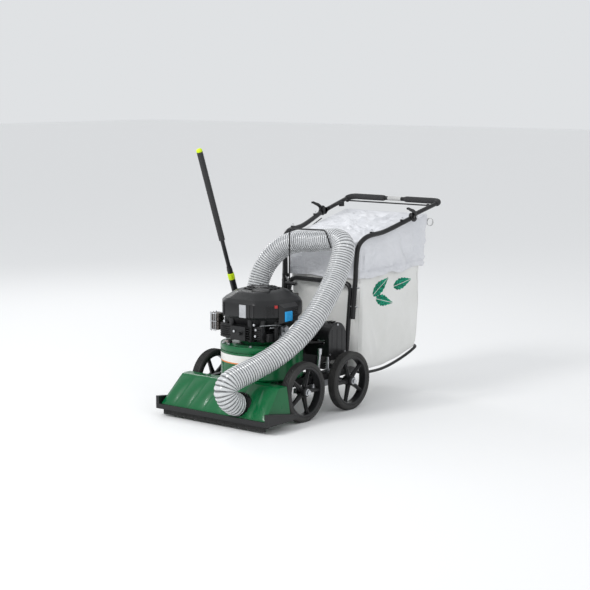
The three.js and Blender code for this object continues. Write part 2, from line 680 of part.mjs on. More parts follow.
// The wire bail under the crossbar, with an eye at each end.
function driveBail() {
  const [y, z] = BAIL_PIVOT;
  const bar = [CROSSBAR[0] - 10, CROSSBAR[1] - 26];
  const rod = tubeAlong(bent(mirrored([[277, y, z], [277, ...bar]]), 22), BAIL_R, 26, 6);
  const eyes = [-1, 1].map((side) => crosswise(9, [side * 272, side * 282].sort((a, b) => a - b), y, z, 14));
  return cut(join(rod, ...eyes), crosswise(BAIL_R + RUNNING, [-290, 290], y, z, 14));
}

function throttleLever() {
  const [y, z] = THROTTLE;
  const span = [-276.7, -272.7];
  const arm = hull(span.flatMap((x) => [
    [x, y, z - 6], [x, y, z + 6], [x, y - 66, z - 3], [x, y - 66, z + 5], [x, y - 72, z + 1],
  ]));
  return cut(join(crosswise(9, span, y, z, 14), arm), crosswise(3 + RUNNING, [-280, -270], y, z, 12));
}

// The drive cable along the right-hand tube and leg, clamped to them all the way.
function driveCable() {
  return tubeAlong(smooth([
    [-286, 470, 930], [-264, 288, 874], [-256, 165, 850], [-258, 112, 806], [-259, 96, 750], [-256, 90, 690],
    [-255, 84, 600], [-257, 77, 510], [-257, 70, 450], [-240, 62, 400], [-230, 56, 350], [-226, 42, 250],
    [-224, 38, RAIL_TOP_Z + 2],
  ]), 3, 26, 6);
}

// The wire loop that keeps the hose against the handle, with its clamp on the right-hand tube.
function hoseHook() {
  const wire = tubeAlong(bent([
    [-219, 68, 650], [-150, 0, 642], [-62, -95, 660], [-60, -95, 928], [178, -95, 934], [216, -95, 843],
  ], 20), 4, 30, 5);
  const clampBlock = box([-250, -216], [64, 110], [641, 659]);
  const tubeBore = upright(TUBE_R + 1.5, [630, 670], -237, 88, 20);
  return join(wire, cut(clampBlock, tubeBore));
}

// ---------------------------------------------------------------- hose, tool and pole
const HOSE_ROUTE = [
  [150, -763, 122], [150, -786, 130], [145, -820, 156], [138, -836, 198], [143, -820, 233], [156, -778, 256],
  [178, -716, 279], [210, -630, 315], [248, -545, 363], [280, -450, 430], [299, -345, 516], [295, -240, 608],
  [286, -150, 701], [279, -90, 788], [262, -50, 851], [212, -25, 878], [140, -18, 876], [50, -15, 864],
  [-40, -15, 856], [-130, -22, 834], [-200, -36, 790], [-246, -56, 730], [-270, -80, 664], [-280, -100, 596],
  [-283, -108, 560], [-283, -108, TOOL_TOP_Z + 1],
];

function hose() {
  return tubeAlong(smooth(HOSE_ROUTE), HOSE_R, 36, 8);
}

const TOOL_BASE = new THREE.Vector3(TOOL[0], TOOL[1], 0);

function hoseTool() {
  const profile = [
    [TOOL_R - 4, TOOL_BOTTOM_Z], [TOOL_R + 6, TOOL_BOTTOM_Z], [TOOL_R, TOOL_BOTTOM_Z + 30], [TOOL_R, 490],
    [TOOL_R + 6, 492], [TOOL_R + 6, TOOL_TOP_Z], [TOOL_R - 4, TOOL_TOP_Z], [TOOL_R - 4, TOOL_BOTTOM_Z],
  ];
  return turned(profile, TOOL_BASE, UP, 24);
}

// A band round the tool on an arm from the right-hand leg.
function toolHolder() {
  const band = turned(ring(TOOL_R + 1, TOOL_R + 6, 396, 420), TOOL_BASE, UP, 24);
  const arm = box([-224, -206], [-98, 46], [400, 416]);
  const bore = upright(TOOL_R + 1, [380, 430], ...TOOL, 24);
  const legBore = upright(HOOP_R + 1.5, [380, 430], -210.5, 65.5, 20);
  return cut(join(band, arm), bore, legBore);
}

function poleRing(inner, outer, from, to, segments = 16) {
  return turned(ring(inner, outer, from, to), POLE_FOOT, POLE_DIRECTION, segments);
}

// Distances along the pole from its foot.
const POLE = {
  socketEnd: 286, collarEnd: 322, clampEnd: 360, shaftFoot: 150, gripStart: 512, gripEnd: 1010, tip: 1028,
};

// The pole's socket with the clamp that holds it to the tool.
function poleSocket() {
  const tube = poleRing(13, 16.5, 0, POLE.socketEnd);
  const band = turned(ring(TOOL_R + 0.5, TOOL_R + 5, 440, 470), TOOL_BASE, UP, 24);
  const block = box([-308, -284], [-212, -164], [444, 466]);
  const bore = turned([[0, -5], [13, -5], [13, 300], [0, 300]], POLE_FOOT, POLE_DIRECTION, 16);
  const toolBore = upright(TOOL_R + 0.5, [430, 480], ...TOOL, 24);
  return cut(join(tube, band, block), bore, toolBore);
}

function poleCollar() {
  return poleRing(13, 18, POLE.socketEnd + GAP, POLE.collarEnd);
}

function poleShaft() {
  const profile = [[0, POLE.shaftFoot], [11, POLE.shaftFoot], [11, POLE.gripEnd], [0, POLE.gripEnd]];
  return turned(profile, POLE_FOOT, POLE_DIRECTION, 14);
}

function poleClamp() {
  return poleRing(12, 15, POLE.collarEnd + GAP, POLE.clampEnd);
}

function poleGrip() {
  return poleRing(11.5, 16, POLE.gripStart, POLE.gripEnd);
}

function poleCap() {
  const from = POLE.gripEnd + GAP;
  return turned([[0, from], [16, from], [16, from + 10], [10, POLE.tip], [0, POLE.tip]],
    POLE_FOOT, POLE_DIRECTION, 16);
}

// ---------------------------------------------------------------- bag
const BAG_WALL = 4;

function bagBodyBlock(inset) {
  const bottom = [[126, 169], [212, 167], [332, 170], [476, 196], [648, 246]];
  const top = 690 + 3 * inset;
  const low = bottom.map(([y, z]) => [222 + 0.05 * (y - 126) - inset, y, z + inset]);
  low[0][1] += inset;
  low[low.length - 1][1] -= inset;
  return hull(bothSides([...low, [236 - inset, 118 + inset, top], [258 - inset, 668 - inset, top]]));
}

function bagBody() {
  const half = DUCT_HALF_WIDTH + 1;
  const inlet = box([-half, half], [100, 140], [DUCT_BOTTOM_Z - 1, DUCT_TOP_Z + 1]);
  return cut(bagBodyBlock(0), bagBodyBlock(BAG_WALL), inlet);
}

function bagSkirtBlock(inset) {
  const hem = 672 - 3 * inset;
  return hull(bothSides([
    [242 - inset, 112 + inset, hem],
    [268 - inset, 680 - inset, hem],
    [238 - inset, 113 + inset, 858 - inset],
    [286 - inset, 702 - inset, 970 - inset],
  ]));
}

function bagSkirt() {
  return cut(bagSkirtBlock(0), bagSkirtBlock(BAG_WALL));
}

// The tray's tube, 12 mm below the bag from the rails to its rear edge.
function bagSupport() {
  const side = [
    [218, RAIL_REAR_Y + 6, 172], [242, 150, 157], [250, 212, 155], [250, 332, 158], [250, 476, 184],
    [250, 600, 220], [238, 648, 234], [190, 658, 237],
  ];
  return tubeAlong(smooth(mirrored(side)), TRAY_R, 30, 8);
}

// ---------------------------------------------------------------- assembly
add("nozzle_hood", nozzleHood(), GREEN_PAINT);
add("hose_port", hosePort(), BLACK_PLASTIC);
add("front_bumper", frontBumper(), BLACK_PAINT);
add("rubber_skirt", rubberSkirt(), RUBBER);
add("impeller_housing", impellerHousing(), GREEN_PAINT);
add("engine_deck", engineDeck(), GREEN_PAINT);
add("exhaust_duct", exhaustDuct(), BLACK_PAINT);
add("chassis_frame", chassis(), BLACK_PAINT);
add("height_yoke", heightYoke(), STEEL);
add("rear_axle", rearAxle(), STEEL);
for (const [place, x, y, degrees, shaftR] of WHEELS) {
  add("tyre_" + place, tyre(x, y), RUBBER);
  add("wheel_" + place, wheel(x, y, THREE.MathUtils.degToRad(degrees), shaftR + RUNNING), BLACK_PLASTIC);
}
add("transmission", transmission(), CAST_ALUMINIUM);
add("gearbox_input", gearboxInput(), STEEL);
add("drive_belt", driveBelt(), RUBBER);
add("drive_cover", driveCover(), BLACK_PLASTIC);
add("crankshaft", crankshaft(), STEEL);
add("impeller", impeller(), STEEL);
add("flywheel", flywheel(), CAST_ALUMINIUM);
add("crankcase", crankcase(), BLACK_CASTING);
add("muffler", muffler(), STEEL);
add("muffler_guard", mufflerGuard(), STEEL);
add("engine_shroud", engineShroud(), BLACK_PLASTIC);
add("starter_cover", starterCover(), BLACK_PLASTIC);
add("starter_grip", starterGrip(), BLACK_PLASTIC);
add("air_filter_cover", airFilterCover(), BLACK_PLASTIC);
add("filter_latch", filterLatch(), BLUE_PLASTIC);
add("carburettor", carburettor(), CAST_ALUMINIUM);
add("fuel_tank", fuelTank(), BLACK_PLASTIC);
add("fuel_cap", fuelCap(), BLACK_PLASTIC);
add("frame_hoop", frameHoop(), BLACK_PAINT);
for (const [place, side] of [["left", 1], ["right", -1]]) {
  add("lower_handle_" + place, lowerHandle(side), BLACK_PAINT);
  add("cam_lever_" + place, camLever(side), BLACK_PLASTIC);
  add("foam_grip_" + place, foamGrip(side), FOAM);
}
add("upper_handle", upperHandle(), BLACK_PAINT);
add("drive_bail", driveBail(), BLACK_PAINT);
add("throttle_lever", throttleLever(), BLACK_PLASTIC);
add("drive_cable", driveCable(), RUBBER);
add("hose_hook", hoseHook(), BLACK_PAINT);
add("hose", hose(), HOSE_PLASTIC);
add("hose_tool", hoseTool(), BLACK_PLASTIC);
add("tool_holder", toolHolder(), BLACK_PAINT);
add("pole_socket", poleSocket(), BLACK_PLASTIC);
add("pole_collar", poleCollar(), LIME_PLASTIC);
add("pole_clamp", poleClamp(), BLACK_PLASTIC);
add("pole_shaft", poleShaft(), BLACK_PAINT);
add("pole_grip", poleGrip(), FOAM);
add("pole_cap", poleCap(), LIME_PLASTIC);
add("bag_body", bagBody(), WHITE_FELT);
add("bag_skirt", bagSkirt(), GREY_SHELL);
add("bag_support", bagSupport(), BLACK_PAINT);

export default object;
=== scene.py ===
import json
import math

import bmesh
import bpy
import numpy as np
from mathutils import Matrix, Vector, noise
from mathutils.bvhtree import BVHTree


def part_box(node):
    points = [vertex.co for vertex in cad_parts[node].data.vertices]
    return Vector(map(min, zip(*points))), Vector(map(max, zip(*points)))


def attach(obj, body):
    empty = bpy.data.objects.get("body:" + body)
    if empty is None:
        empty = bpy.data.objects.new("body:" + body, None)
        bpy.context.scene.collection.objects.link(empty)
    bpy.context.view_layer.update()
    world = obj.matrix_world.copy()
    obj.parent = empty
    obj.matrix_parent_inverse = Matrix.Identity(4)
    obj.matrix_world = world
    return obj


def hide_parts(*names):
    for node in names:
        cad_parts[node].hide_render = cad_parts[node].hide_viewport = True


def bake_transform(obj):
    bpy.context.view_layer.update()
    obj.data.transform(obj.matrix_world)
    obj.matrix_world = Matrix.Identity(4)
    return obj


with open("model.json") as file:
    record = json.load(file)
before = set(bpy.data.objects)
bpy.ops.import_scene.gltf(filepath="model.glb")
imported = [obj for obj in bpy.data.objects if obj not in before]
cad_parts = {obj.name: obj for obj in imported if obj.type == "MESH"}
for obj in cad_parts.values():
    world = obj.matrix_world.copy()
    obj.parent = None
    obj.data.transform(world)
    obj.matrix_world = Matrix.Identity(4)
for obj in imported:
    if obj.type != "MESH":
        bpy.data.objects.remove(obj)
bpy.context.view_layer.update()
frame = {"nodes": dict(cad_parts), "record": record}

MM = 0.001
UP = Vector((0, 0, 1))

# The folds' warp is drawn from seeded noise, so that each run gives the same cloth.
FOLD_SEED = 5
noise.seed_set(FOLD_SEED)

NODES = frame["nodes"]

# ------------------------------------------------------------------ camera, light and floor
AZIMUTH = math.radians(39.3)
ELEVATION = math.radians(8.0)
CAMERA_DISTANCE = 8.0
AIM = Vector((0.0, -0.231, 0.600))


def place_camera():
    data = bpy.data.cameras.new("camera")
    data.lens = 93.84
    data.sensor_width = 36.0
    data.shift_x = 0.0219
    data.shift_y = -0.0017
    camera = bpy.data.objects.new("camera", data)
    direction = Vector((math.sin(AZIMUTH) * math.cos(ELEVATION),
                        -math.cos(AZIMUTH) * math.cos(ELEVATION),
                        math.sin(ELEVATION)))
    camera.location = AIM + CAMERA_DISTANCE * direction
    camera.rotation_euler = (-direction).to_track_quat("-Z", "Y").to_euler()
    bpy.context.collection.objects.link(camera)
    bpy.context.scene.camera = camera


def area_light(name, place, size, power):
    data = bpy.data.lights.new(name, "AREA")
    data.shape = "RECTANGLE"
    data.size, data.size_y = size
    data.energy = power
    light = bpy.data.objects.new(name, data)
    light.location = place
    light.rotation_euler = (AIM - Vector(place)).to_track_quat("-Z", "Y").to_euler()
    bpy.context.collection.objects.link(light)


def light_studio():
    area_light("key", (-1.2, -4.6, 4.4), (1.6, 1.6), 150)
    area_light("fill", (5.4, -1.6, 3.2), (1.2, 1.6), 22)
    area_light("rim", (-4.2, 2.0, 3.4), (1.4, 1.4), 30)
    world = bpy.data.worlds.new("studio")
    world.use_nodes = True
    world.node_tree.nodes["Background"].inputs[0].default_value = (0.93, 0.95, 0.97, 1)
    world.node_tree.nodes["Background"].inputs[1].default_value = 0.80
    bpy.context.scene.world = world


def set_colours():
    """A plain view of the light, so that white stays white and the paint keeps its colour."""
    view = bpy.context.scene.view_settings
    view.view_transform = "Standard"
    view.look = "None"
    view.exposure = 0.0


def lay_floor():
    mesh = bpy.data.meshes.new("floor")
    reach = 40.0
    corners = [(-reach, -reach, 0), (reach, -reach, 0), (reach, reach, 0), (-reach, reach, 0)]
    mesh.from_pydata(corners, [], [(0, 1, 2, 3)])
    floor = bpy.data.objects.new("floor", mesh)
    bpy.context.collection.objects.link(floor)
    pale = bpy.data.materials.new("floor_pale")
    pale.use_nodes = True
    shader = pale.node_tree.nodes["Principled BSDF"]
    shader.inputs["Base Color"].default_value = (0.93, 0.93, 0.93, 1)
    shader.inputs["Roughness"].default_value = 0.8
    mesh.materials.append(pale)


# ------------------------------------------------------------------ materials
class Finish:
    """A principled material whose colour, roughness and relief come from procedural nodes."""

    def __init__(self, name, roughness, metallic=0.0):
        self.material = bpy.data.materials.new(name)
        self.material.use_nodes = True
        self.tree = self.material.node_tree
        self.shader = self.tree.nodes["Principled BSDF"]
        self.shader.inputs["Metallic"].default_value = metallic
        self.shader.inputs["Roughness"].default_value = roughness
        self.place = self.tree.nodes.new("ShaderNodeTexCoord").outputs["Object"]

    def node(self, kind, **inputs):
        made = self.tree.nodes.new(kind)
        for key, value in inputs.items():
            made.inputs[key.replace("_", " ")].default_value = value
        return made

    def link(self, out, socket):
        self.tree.links.new(out, socket)

    def noise(self, scale, detail=4.0):
        made = self.node("ShaderNodeTexNoise", Scale=scale, Detail=detail)
        self.link(self.place, made.inputs["Vector"])
        return made.outputs["Fac"]

    def wave(self, scale, axis, distortion=0.0):
        made = self.node("ShaderNodeTexWave", Scale=scale, Distortion=distortion)
        made.bands_direction = axis
        self.link(self.place, made.inputs["Vector"])
        return made.outputs["Fac"]

    def colours(self, factor, stops):
        ramp = self.tree.nodes.new("ShaderNodeValToRGB")
        while len(ramp.color_ramp.elements) < len(stops):
            ramp.color_ramp.elements.new(0.5)
        for element, (position, colour) in zip(ramp.color_ramp.elements, stops):
            element.position = position
            element.color = (*colour, 1)
        self.link(factor, ramp.inputs["Fac"])
        return ramp.outputs["Color"]

    def mix(self, factor, first, second):
        made = self.tree.nodes.new("ShaderNodeMix")
        made.data_type = "RGBA"
        self.link(factor, made.inputs[0])
        self.link(first, made.inputs[6])
        self.link(second, made.inputs[7])
        return made.outputs[2]

    def range(self, factor, low, high):
        made = self.node("ShaderNodeMapRange", To_Min=low, To_Max=high)
        self.link(factor, made.inputs["Value"])
        return made.outputs["Result"]

    def relief(self, height, distance, strength=1.0, below=None):
        made = self.node("ShaderNodeBump", Strength=strength, Distance=distance)
        self.link(height, made.inputs["Height"])
        if below is not None:
            self.link(below, made.inputs["Normal"])
        return made.outputs["Normal"]

    def rounded(self, radius):
        made = self.node("ShaderNodeBevel", Radius=radius)
        made.samples = 4
        return made.outputs["Normal"]

    def done(self, colour, roughness, normal):
        self.link(colour, self.shader.inputs["Base Color"])
        self.link(roughness, self.shader.inputs["Roughness"])
        self.link(normal, self.shader.inputs["Normal"])
        return self.material


def shades(colour, spread):
    dark = tuple(c * (1 - spread) for c in colour)
    light = tuple(min(1.0, c * (1 + spread)) for c in colour)
    return [(0.3, dark), (0.7, light)]


def plain(name, colour, roughness, metallic=0.0, spread=0.12, grain=900.0, depth=0.0002, edge=0.0015,
          shine=0.5):
    """A solid-coloured finish with mottling, fine grain and softened edges."""
    f = Finish(name, roughness, metallic)
    f.shader.inputs["Specular IOR Level"].default_value = shine
    tone = f.colours(f.noise(7.0), shades(colour, spread))
    rough = f.range(f.noise(26.0), roughness * 0.8, min(1.0, roughness * 1.25))
    return f.done(tone, rough, f.relief(f.noise(grain), depth, 0.5, f.rounded(edge)))


def green_paint():
    f = Finish("green_paint", 0.3)
    f.shader.inputs["Coat Weight"].default_value = 0.35
    f.shader.inputs["Coat Roughness"].default_value = 0.1
    f.shader.inputs["Specular IOR Level"].default_value = 0.25
    tone = f.colours(f.noise(4.0), [(0.3, (0.0, 0.095, 0.026)), (0.7, (0.0, 0.135, 0.040))])
    rough = f.range(f.noise(30.0), 0.22, 0.40)
    return f.done(tone, rough, f.relief(f.noise(160.0), 0.0004, 0.25, f.rounded(0.003)))


def tyre_rubber():
    f = Finish("tyre_rubber", 0.75)
    tone = f.colours(f.noise(12.0), [(0.25, (0.018, 0.018, 0.018)), (0.8, (0.045, 0.044, 0.042))])
    rough = f.range(f.noise(60.0), 0.6, 0.9)
    return f.done(tone, rough, f.relief(f.noise(700.0), 0.0004, 0.6))


def foam():
    f = Finish("foam", 0.95)
    cells = f.node("ShaderNodeTexVoronoi", Scale=520.0)
    f.link(f.place, cells.inputs["Vector"])
    tone = f.colours(cells.outputs["Distance"], [(0.1, (0.018, 0.018, 0.019)), (0.7, (0.05, 0.05, 0.052))])
    return f.done(tone, f.range(cells.outputs["Distance"], 0.85, 1.0),
                  f.relief(cells.outputs["Distance"], 0.001))


def steel(name="steel", colour=(0.55, 0.56, 0.58), roughness=0.32):
    f = Finish(name, roughness, 1.0)
    streaks = f.wave(90.0, "Z", 6.0)
    tone = f.colours(f.noise(18.0), shades(colour, 0.18))
    rough = f.range(streaks, roughness * 0.7, roughness * 1.4)
    return f.done(tone, rough, f.relief(f.noise(420.0), 0.0003, 0.4, f.rounded(0.0012)))


def cast_metal(name, colour, roughness, metallic):
    f = Finish(name, roughness, metallic)
    grain = f.noise(380.0, 8.0)
    tone = f.colours(f.noise(22.0), shades(colour, 0.25))
    return f.done(tone, f.range(grain, roughness * 0.8, roughness * 1.2),
                  f.relief(grain, 0.0009, 0.8, f.rounded(0.002)))


def felt():
    """Needled white felt: short tangled fibres, faint yellowing, soft sheen."""
    f = Finish("white_felt", 0.95)
    f.shader.inputs["Sheen Weight"].default_value = 0.25
    f.shader.inputs["Sheen Roughness"].default_value = 0.6
    fibres = f.noise(620.0, 10.0)
    clouds = f.noise(5.0, 6.0)
    base = f.colours(clouds, [(0.25, (0.72, 0.72, 0.69)), (0.6, (0.79, 0.79, 0.77)),
                              (0.9, (0.84, 0.84, 0.83))])
    flecks = f.colours(fibres, [(0.3, (0.70, 0.70, 0.68)), (0.6, (0.83, 0.83, 0.82))])
    grip = f.node("ShaderNodeValue")
    grip.outputs[0].default_value = 0.3
    tone = f.mix(grip.outputs[0], base, flecks)
    creases = f.relief(f.noise(11.0, 3.0), 0.010, 0.35)
    return f.done(tone, f.range(fibres, 0.85, 1.0), f.relief(fibres, 0.0010, 0.6, creases))


def shell_cloth():
    """Coated woven nylon of the bag's top cover: a fine grid weave under a slight gloss."""
    f = Finish("grey_shell", 0.5)
    f.shader.inputs["Sheen Weight"].default_value = 0.1
    weave_x = f.wave(170.0, "Y")
    weave_z = f.wave(170.0, "Z")
    grid = f.tree.nodes.new("ShaderNodeMath")
    grid.operation = "MULTIPLY"
    f.link(weave_x, grid.inputs[0])
    f.link(weave_z, grid.inputs[1])
    tone = f.colours(f.noise(6.0, 6.0), [(0.25, (0.69, 0.70, 0.735)), (0.75, (0.79, 0.795, 0.825))])
    creases = f.relief(f.noise(11.0, 5.0), 0.022, 0.6)
    return f.done(tone, f.range(f.noise(9.0), 0.26, 0.5), f.relief(grid.outputs[0], 0.0005, 0.4, creases))


def hose_film():
    """Clear ribbed film over a metal helix. The valleys between the ribs are darkened with painted shade,
    where the mesh's shade mask is 1.
    """
    f = Finish("hose_plastic", 0.25)
    f.shader.inputs["Coat Weight"].default_value = 0.5
    f.shader.inputs["Coat Roughness"].default_value = 0.12
    f.shader.inputs["Transmission Weight"].default_value = 0.30
    valley_shade_mask = f.tree.nodes.new("ShaderNodeAttribute")
    valley_shade_mask.attribute_name = "valley_shade_mask"
    film = f.colours(f.noise(16.0), [(0.2, (0.74, 0.76, 0.78)), (0.8, (0.93, 0.94, 0.95))])
    # painted shade: dark grey put in the valleys between the ribs
    painted_valley_shade = f.colours(f.noise(40.0), [(0.2, (0.035, 0.037, 0.040)), (0.8, (0.12, 0.122, 0.13))])
    tone = f.mix(valley_shade_mask.outputs["Fac"], film, painted_valley_shade)
    return f.done(tone, f.range(f.noise(30.0), 0.16, 0.36), f.relief(f.noise(210.0), 0.0004, 0.5))


LABEL_Z = (0.283, 0.336)


def label_print():
    """A generic band: white, with a thin orange line along its upper and lower edges."""
    f = Finish("label_print", 0.35)
    split = f.node("ShaderNodeSeparateXYZ")
    f.link(f.place, split.inputs[0])
    height = f.range(split.outputs["Z"], 0.0, 1.0)
    height.node.inputs["From Min"].default_value = LABEL_Z[0]
    height.node.inputs["From Max"].default_value = LABEL_Z[1]
    white = (0.87, 0.86, 0.83)
    orange = (0.85, 0.25, 0.05)
    bands = f.colours(height, [(0.0, orange), (0.11, white), (0.93, orange)])
    bands.node.color_ramp.interpolation = "CONSTANT"
    scuffs = f.colours(f.noise(35.0), shades((0.9, 0.9, 0.9), 0.08))
    tone = f.tree.nodes.new("ShaderNodeMix")
    tone.data_type = "RGBA"
    tone.blend_type = "MULTIPLY"
    tone.inputs[0].default_value = 0.5
    f.link(bands, tone.inputs[6])
    f.link(scuffs, tone.inputs[7])
    return f.done(tone.outputs[2], f.range(f.noise(50.0), 0.28, 0.45), f.relief(f.noise(300.0), 0.0002))


def make_materials():
    return {
        "green_paint": green_paint(),
        "black_paint": plain("black_paint", (0.009, 0.009, 0.010), 0.34, grain=600.0, depth=0.0003,
                             shine=0.4),
        "black_plastic": plain("black_plastic", (0.011, 0.011, 0.012), 0.32, grain=800.0, depth=0.0004,
                               shine=0.42),
        "rubber": plain("rubber", (0.022, 0.022, 0.022), 0.8),
        "tyre_rubber": tyre_rubber(),
        "foam": foam(),
        "steel": steel(),
        "cast_aluminium": cast_metal("cast_aluminium", (0.42, 0.43, 0.45), 0.45, 0.9),
        "black_casting": cast_metal("black_casting", (0.012, 0.012, 0.013), 0.45, 0.2),
        "white_felt": felt(),
        "grey_shell": shell_cloth(),
        "hose_plastic": hose_film(),
        "lime_plastic": plain("lime_plastic", (0.66, 0.86, 0.0), 0.4),
        "blue_plastic": plain("blue_plastic", (0.01, 0.36, 0.78), 0.35),
        "label_print": label_print(),
        "burnt_steel": steel("burnt_steel", (0.16, 0.145, 0.135), 0.4),
        "red_tag": plain("red_tag", (0.45, 0.02, 0.02), 0.4),
        "rose_tag": plain("rose_tag", (0.55, 0.42, 0.40), 0.4),
        "grey_tag": plain("grey_tag", (0.55, 0.55, 0.54), 0.4),
        "leaf_print": plain("leaf_print", (0.0, 0.28, 0.16), 0.8, spread=0.2, grain=500.0),
    }


def dress_frame():
    for part in frame["record"]["subparts"]:
        for slot in NODES[part["node"]].material_slots:
            slot.material = FINISHES[part["material_slot"]]


# ------------------------------------------------------------------ mesh tools
def add_piece(name, vertices, faces, finish, body, replaces=(), sharp=35.0):
    mesh = bpy.data.meshes.new(name)
    mesh.from_pydata([tuple(v) for v in vertices], [], [tuple(face) for face in faces])
    mesh.validate()
    turner = bmesh.new()
    turner.from_mesh(mesh)
    bmesh.ops.recalc_face_normals(turner, faces=turner.faces)
    turner.to_mesh(mesh)
    turner.free()
    mesh.polygons.foreach_set("use_smooth", [True] * len(mesh.polygons))
    mesh.set_sharp_from_angle(angle=math.radians(sharp))
    mesh.materials.append(FINISHES[finish])
    piece = bpy.data.objects.new(name, mesh)
    bpy.context.collection.objects.link(piece)
    if body is not None:
        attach(piece, body)
    if replaces:
        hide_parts(*replaces)
    return piece


def apply_modifiers(piece):
    """Puts the mesh that the piece's modifiers make in place of its own."""
    graph = bpy.context.evaluated_depsgraph_get()
    made = bpy.data.meshes.new_from_object(piece.evaluated_get(graph))
    piece.modifiers.clear()
    piece.data = made


def soften(piece, width, segments=2):
    bevel = piece.modifiers.new("edges", "BEVEL")
    bevel.width = width
    bevel.segments = segments
    bevel.limit_method = "ANGLE"
    bevel.angle_limit = math.radians(30)
    apply_modifiers(piece)
    piece.data.polygons.foreach_set("use_smooth", [True] * len(piece.data.polygons))
    piece.data.set_sharp_from_angle(angle=math.radians(50))
    return piece


class Solid:
    """Vertices and faces gathered from several closed shapes, for one piece."""

    def __init__(self):
        self.vertices = []
        self.faces = []

    def add(self, vertices, faces):
        start = len(self.vertices)
        self.vertices.extend(tuple(v) for v in vertices)
        self.faces.extend(tuple(i + start for i in face) for face in faces)
        return self

    def box(self, low, high):
        corners = [(x, y, z) for x in (low[0], high[0]) for y in (low[1], high[1]) for z in (low[2],
                                                                                             high[2])]
        faces = [(0, 1, 3, 2), (4, 6, 7, 5), (0, 4, 5, 1), (2, 3, 7, 6), (0, 2, 6, 4), (1, 5, 7, 3)]
        return self.add(corners, faces)

    def hull(self, points):
        shape = bmesh.new()
        for p in points:
            shape.verts.new(p)
        bmesh.ops.convex_hull(shape, input=shape.verts)
        for vertex in [v for v in shape.verts if not v.link_faces]:
            shape.verts.remove(vertex)
        shape.verts.index_update()
        corners = [tuple(v.co) for v in shape.verts]
        faces = [tuple(v.index for v in face.verts) for face in shape.faces]
        shape.free()
        return self.add(corners, faces)

    def loft(self, rings, caps=True):
        count = len(rings[0])
        vertices = [p for ring in rings for p in ring]
        faces = []
        for i in range(len(rings) - 1):
            for j in range(count):
                k = (j + 1) % count
                faces.append((i * count + j, i * count + k, (i + 1) * count + k, (i + 1) * count + j))
        if caps:
            faces.append(tuple(range(count)))
            faces.append(tuple(range((len(rings) - 1) * count, len(rings) * count)))
        return self.add(vertices, faces)

    def turned(self, profile, start, axis, segments=40):
        """A closed profile of (radius, distance along the axis) points, turned about the axis."""
        axis = Vector(axis).normalized()
        side = axis.orthogonal().normalized()
        third = axis.cross(side)
        start = Vector(start)
        rings = []
        for j in range(segments):
            angle = 2 * math.pi * j / segments
            out = math.cos(angle) * side + math.sin(angle) * third
            rings.append([start + out * r + axis * s for r, s in profile])
        count = len(profile)
        vertices = [p for ring in rings for p in ring]
        faces = []
        for j in range(segments):
            for i in range(count):
                a = j * count + i
                b = j * count + (i + 1) % count
                c = ((j + 1) % segments) * count + (i + 1) % count
                d = ((j + 1) % segments) * count + i
                faces.append((a, b, c, d))
        return self.add(vertices, faces)

    def rod(self, start, end, r, segments=12):
        axis = Vector(end) - Vector(start)
        side = axis.orthogonal().normalized()
        third = axis.normalized().cross(side)
        ends = []
        for foot in (Vector(start), Vector(end)):
            angles = [2 * math.pi * j / segments for j in range(segments)]
            ends.append([foot + r * (math.cos(a) * side + math.sin(a) * third) for a in angles])
        return self.loft(ends)

    def piece(self, name, finish, body, replaces=(), sharp=35.0):
        return add_piece(name, self.vertices, self.faces, finish, body, replaces, sharp)


# ------------------------------------------------------------------ routes
def smooth_route(points, per_span=12):
    """The centripetal Catmull-Rom curve through points given in millimetres."""
    p = [Vector(q) * MM for q in points]
    p = [2 * p[0] - p[1], *p, 2 * p[-1] - p[-2]]
    out = []
    for a, b, c, d in zip(p, p[1:], p[2:], p[3:]):
        t1 = (b - a).length ** 0.5
        t2 = t1 + (c - b).length ** 0.5
        t3 = t2 + (d - c).length ** 0.5
        for i in range(per_span):
            t = t1 + (t2 - t1) * i / per_span
            ab = a * (t1 - t) / t1 + b * t / t1
            bc = b * (t2 - t) / (t2 - t1) + c * (t - t1) / (t2 - t1)
            cd = c * (t3 - t) / (t3 - t2) + d * (t - t2) / (t3 - t2)
            abc = ab * (t2 - t) / t2 + bc * t / t2
            bcd = bc * (t3 - t) / (t3 - t1) + cd * (t - t1) / (t3 - t1)
            out.append(abc * (t2 - t) / (t2 - t1) + bcd * (t - t1) / (t2 - t1))
    return [*out, p[-2]]


def bent_route(points, radius, per_corner=10):
    """Straight runs in millimetres with rounded corners."""
    p = [Vector(q) * MM for q in points]
    reach = radius * MM
    out = [p[0]]
    for before, corner, after in zip(p, p[1:], p[2:]):
        start = corner + (before - corner).normalized() * reach
        end = corner + (after - corner).normalized() * reach
        for i in range(per_corner + 1):
            t = i / per_corner
            out.append(start * (1 - t) ** 2 + corner * 2 * t * (1 - t) + end * t ** 2)
    return [*out, p[-1]]


def mirrored(points):
    return [*points, *[(-x, y, z) for x, y, z in reversed(points)]]


def evenly(route, step):
    """The route's points respaced by step metres."""
    points = np.array([tuple(p) for p in route])
    gaps = np.linalg.norm(np.diff(points, axis=0), axis=1)
    along = np.concatenate([[0.0], np.cumsum(gaps)])
    count = max(2, int(round(along[-1] / step)) + 1)
    places = np.linspace(0.0, along[-1], count)
    respaced = np.stack([np.interp(places, along, points[:, i]) for i in range(3)], axis=1)
    return [Vector(p) for p in respaced], along[-1]


def rings_along(route, radius_at, sides):
    """Cross-sections along a route, without twist. radius_at(i, angle) is the radius of ring i."""
    rings = []
    side = None
    for i, point in enumerate(route):
        ahead = route[min(i + 1, len(route) - 1)] - route[max(i - 1, 0)]
        ahead.normalize()
        side = ahead.orthogonal() if side is None else side - ahead * side.dot(ahead)
        side = side.normalized()
        third = ahead.cross(side)
        angles = [2 * math.pi * j / sides for j in range(sides)]
        rings.append([point + radius_at(i, a) * (math.cos(a) * side + math.sin(a) * third) for a in angles])
    return rings


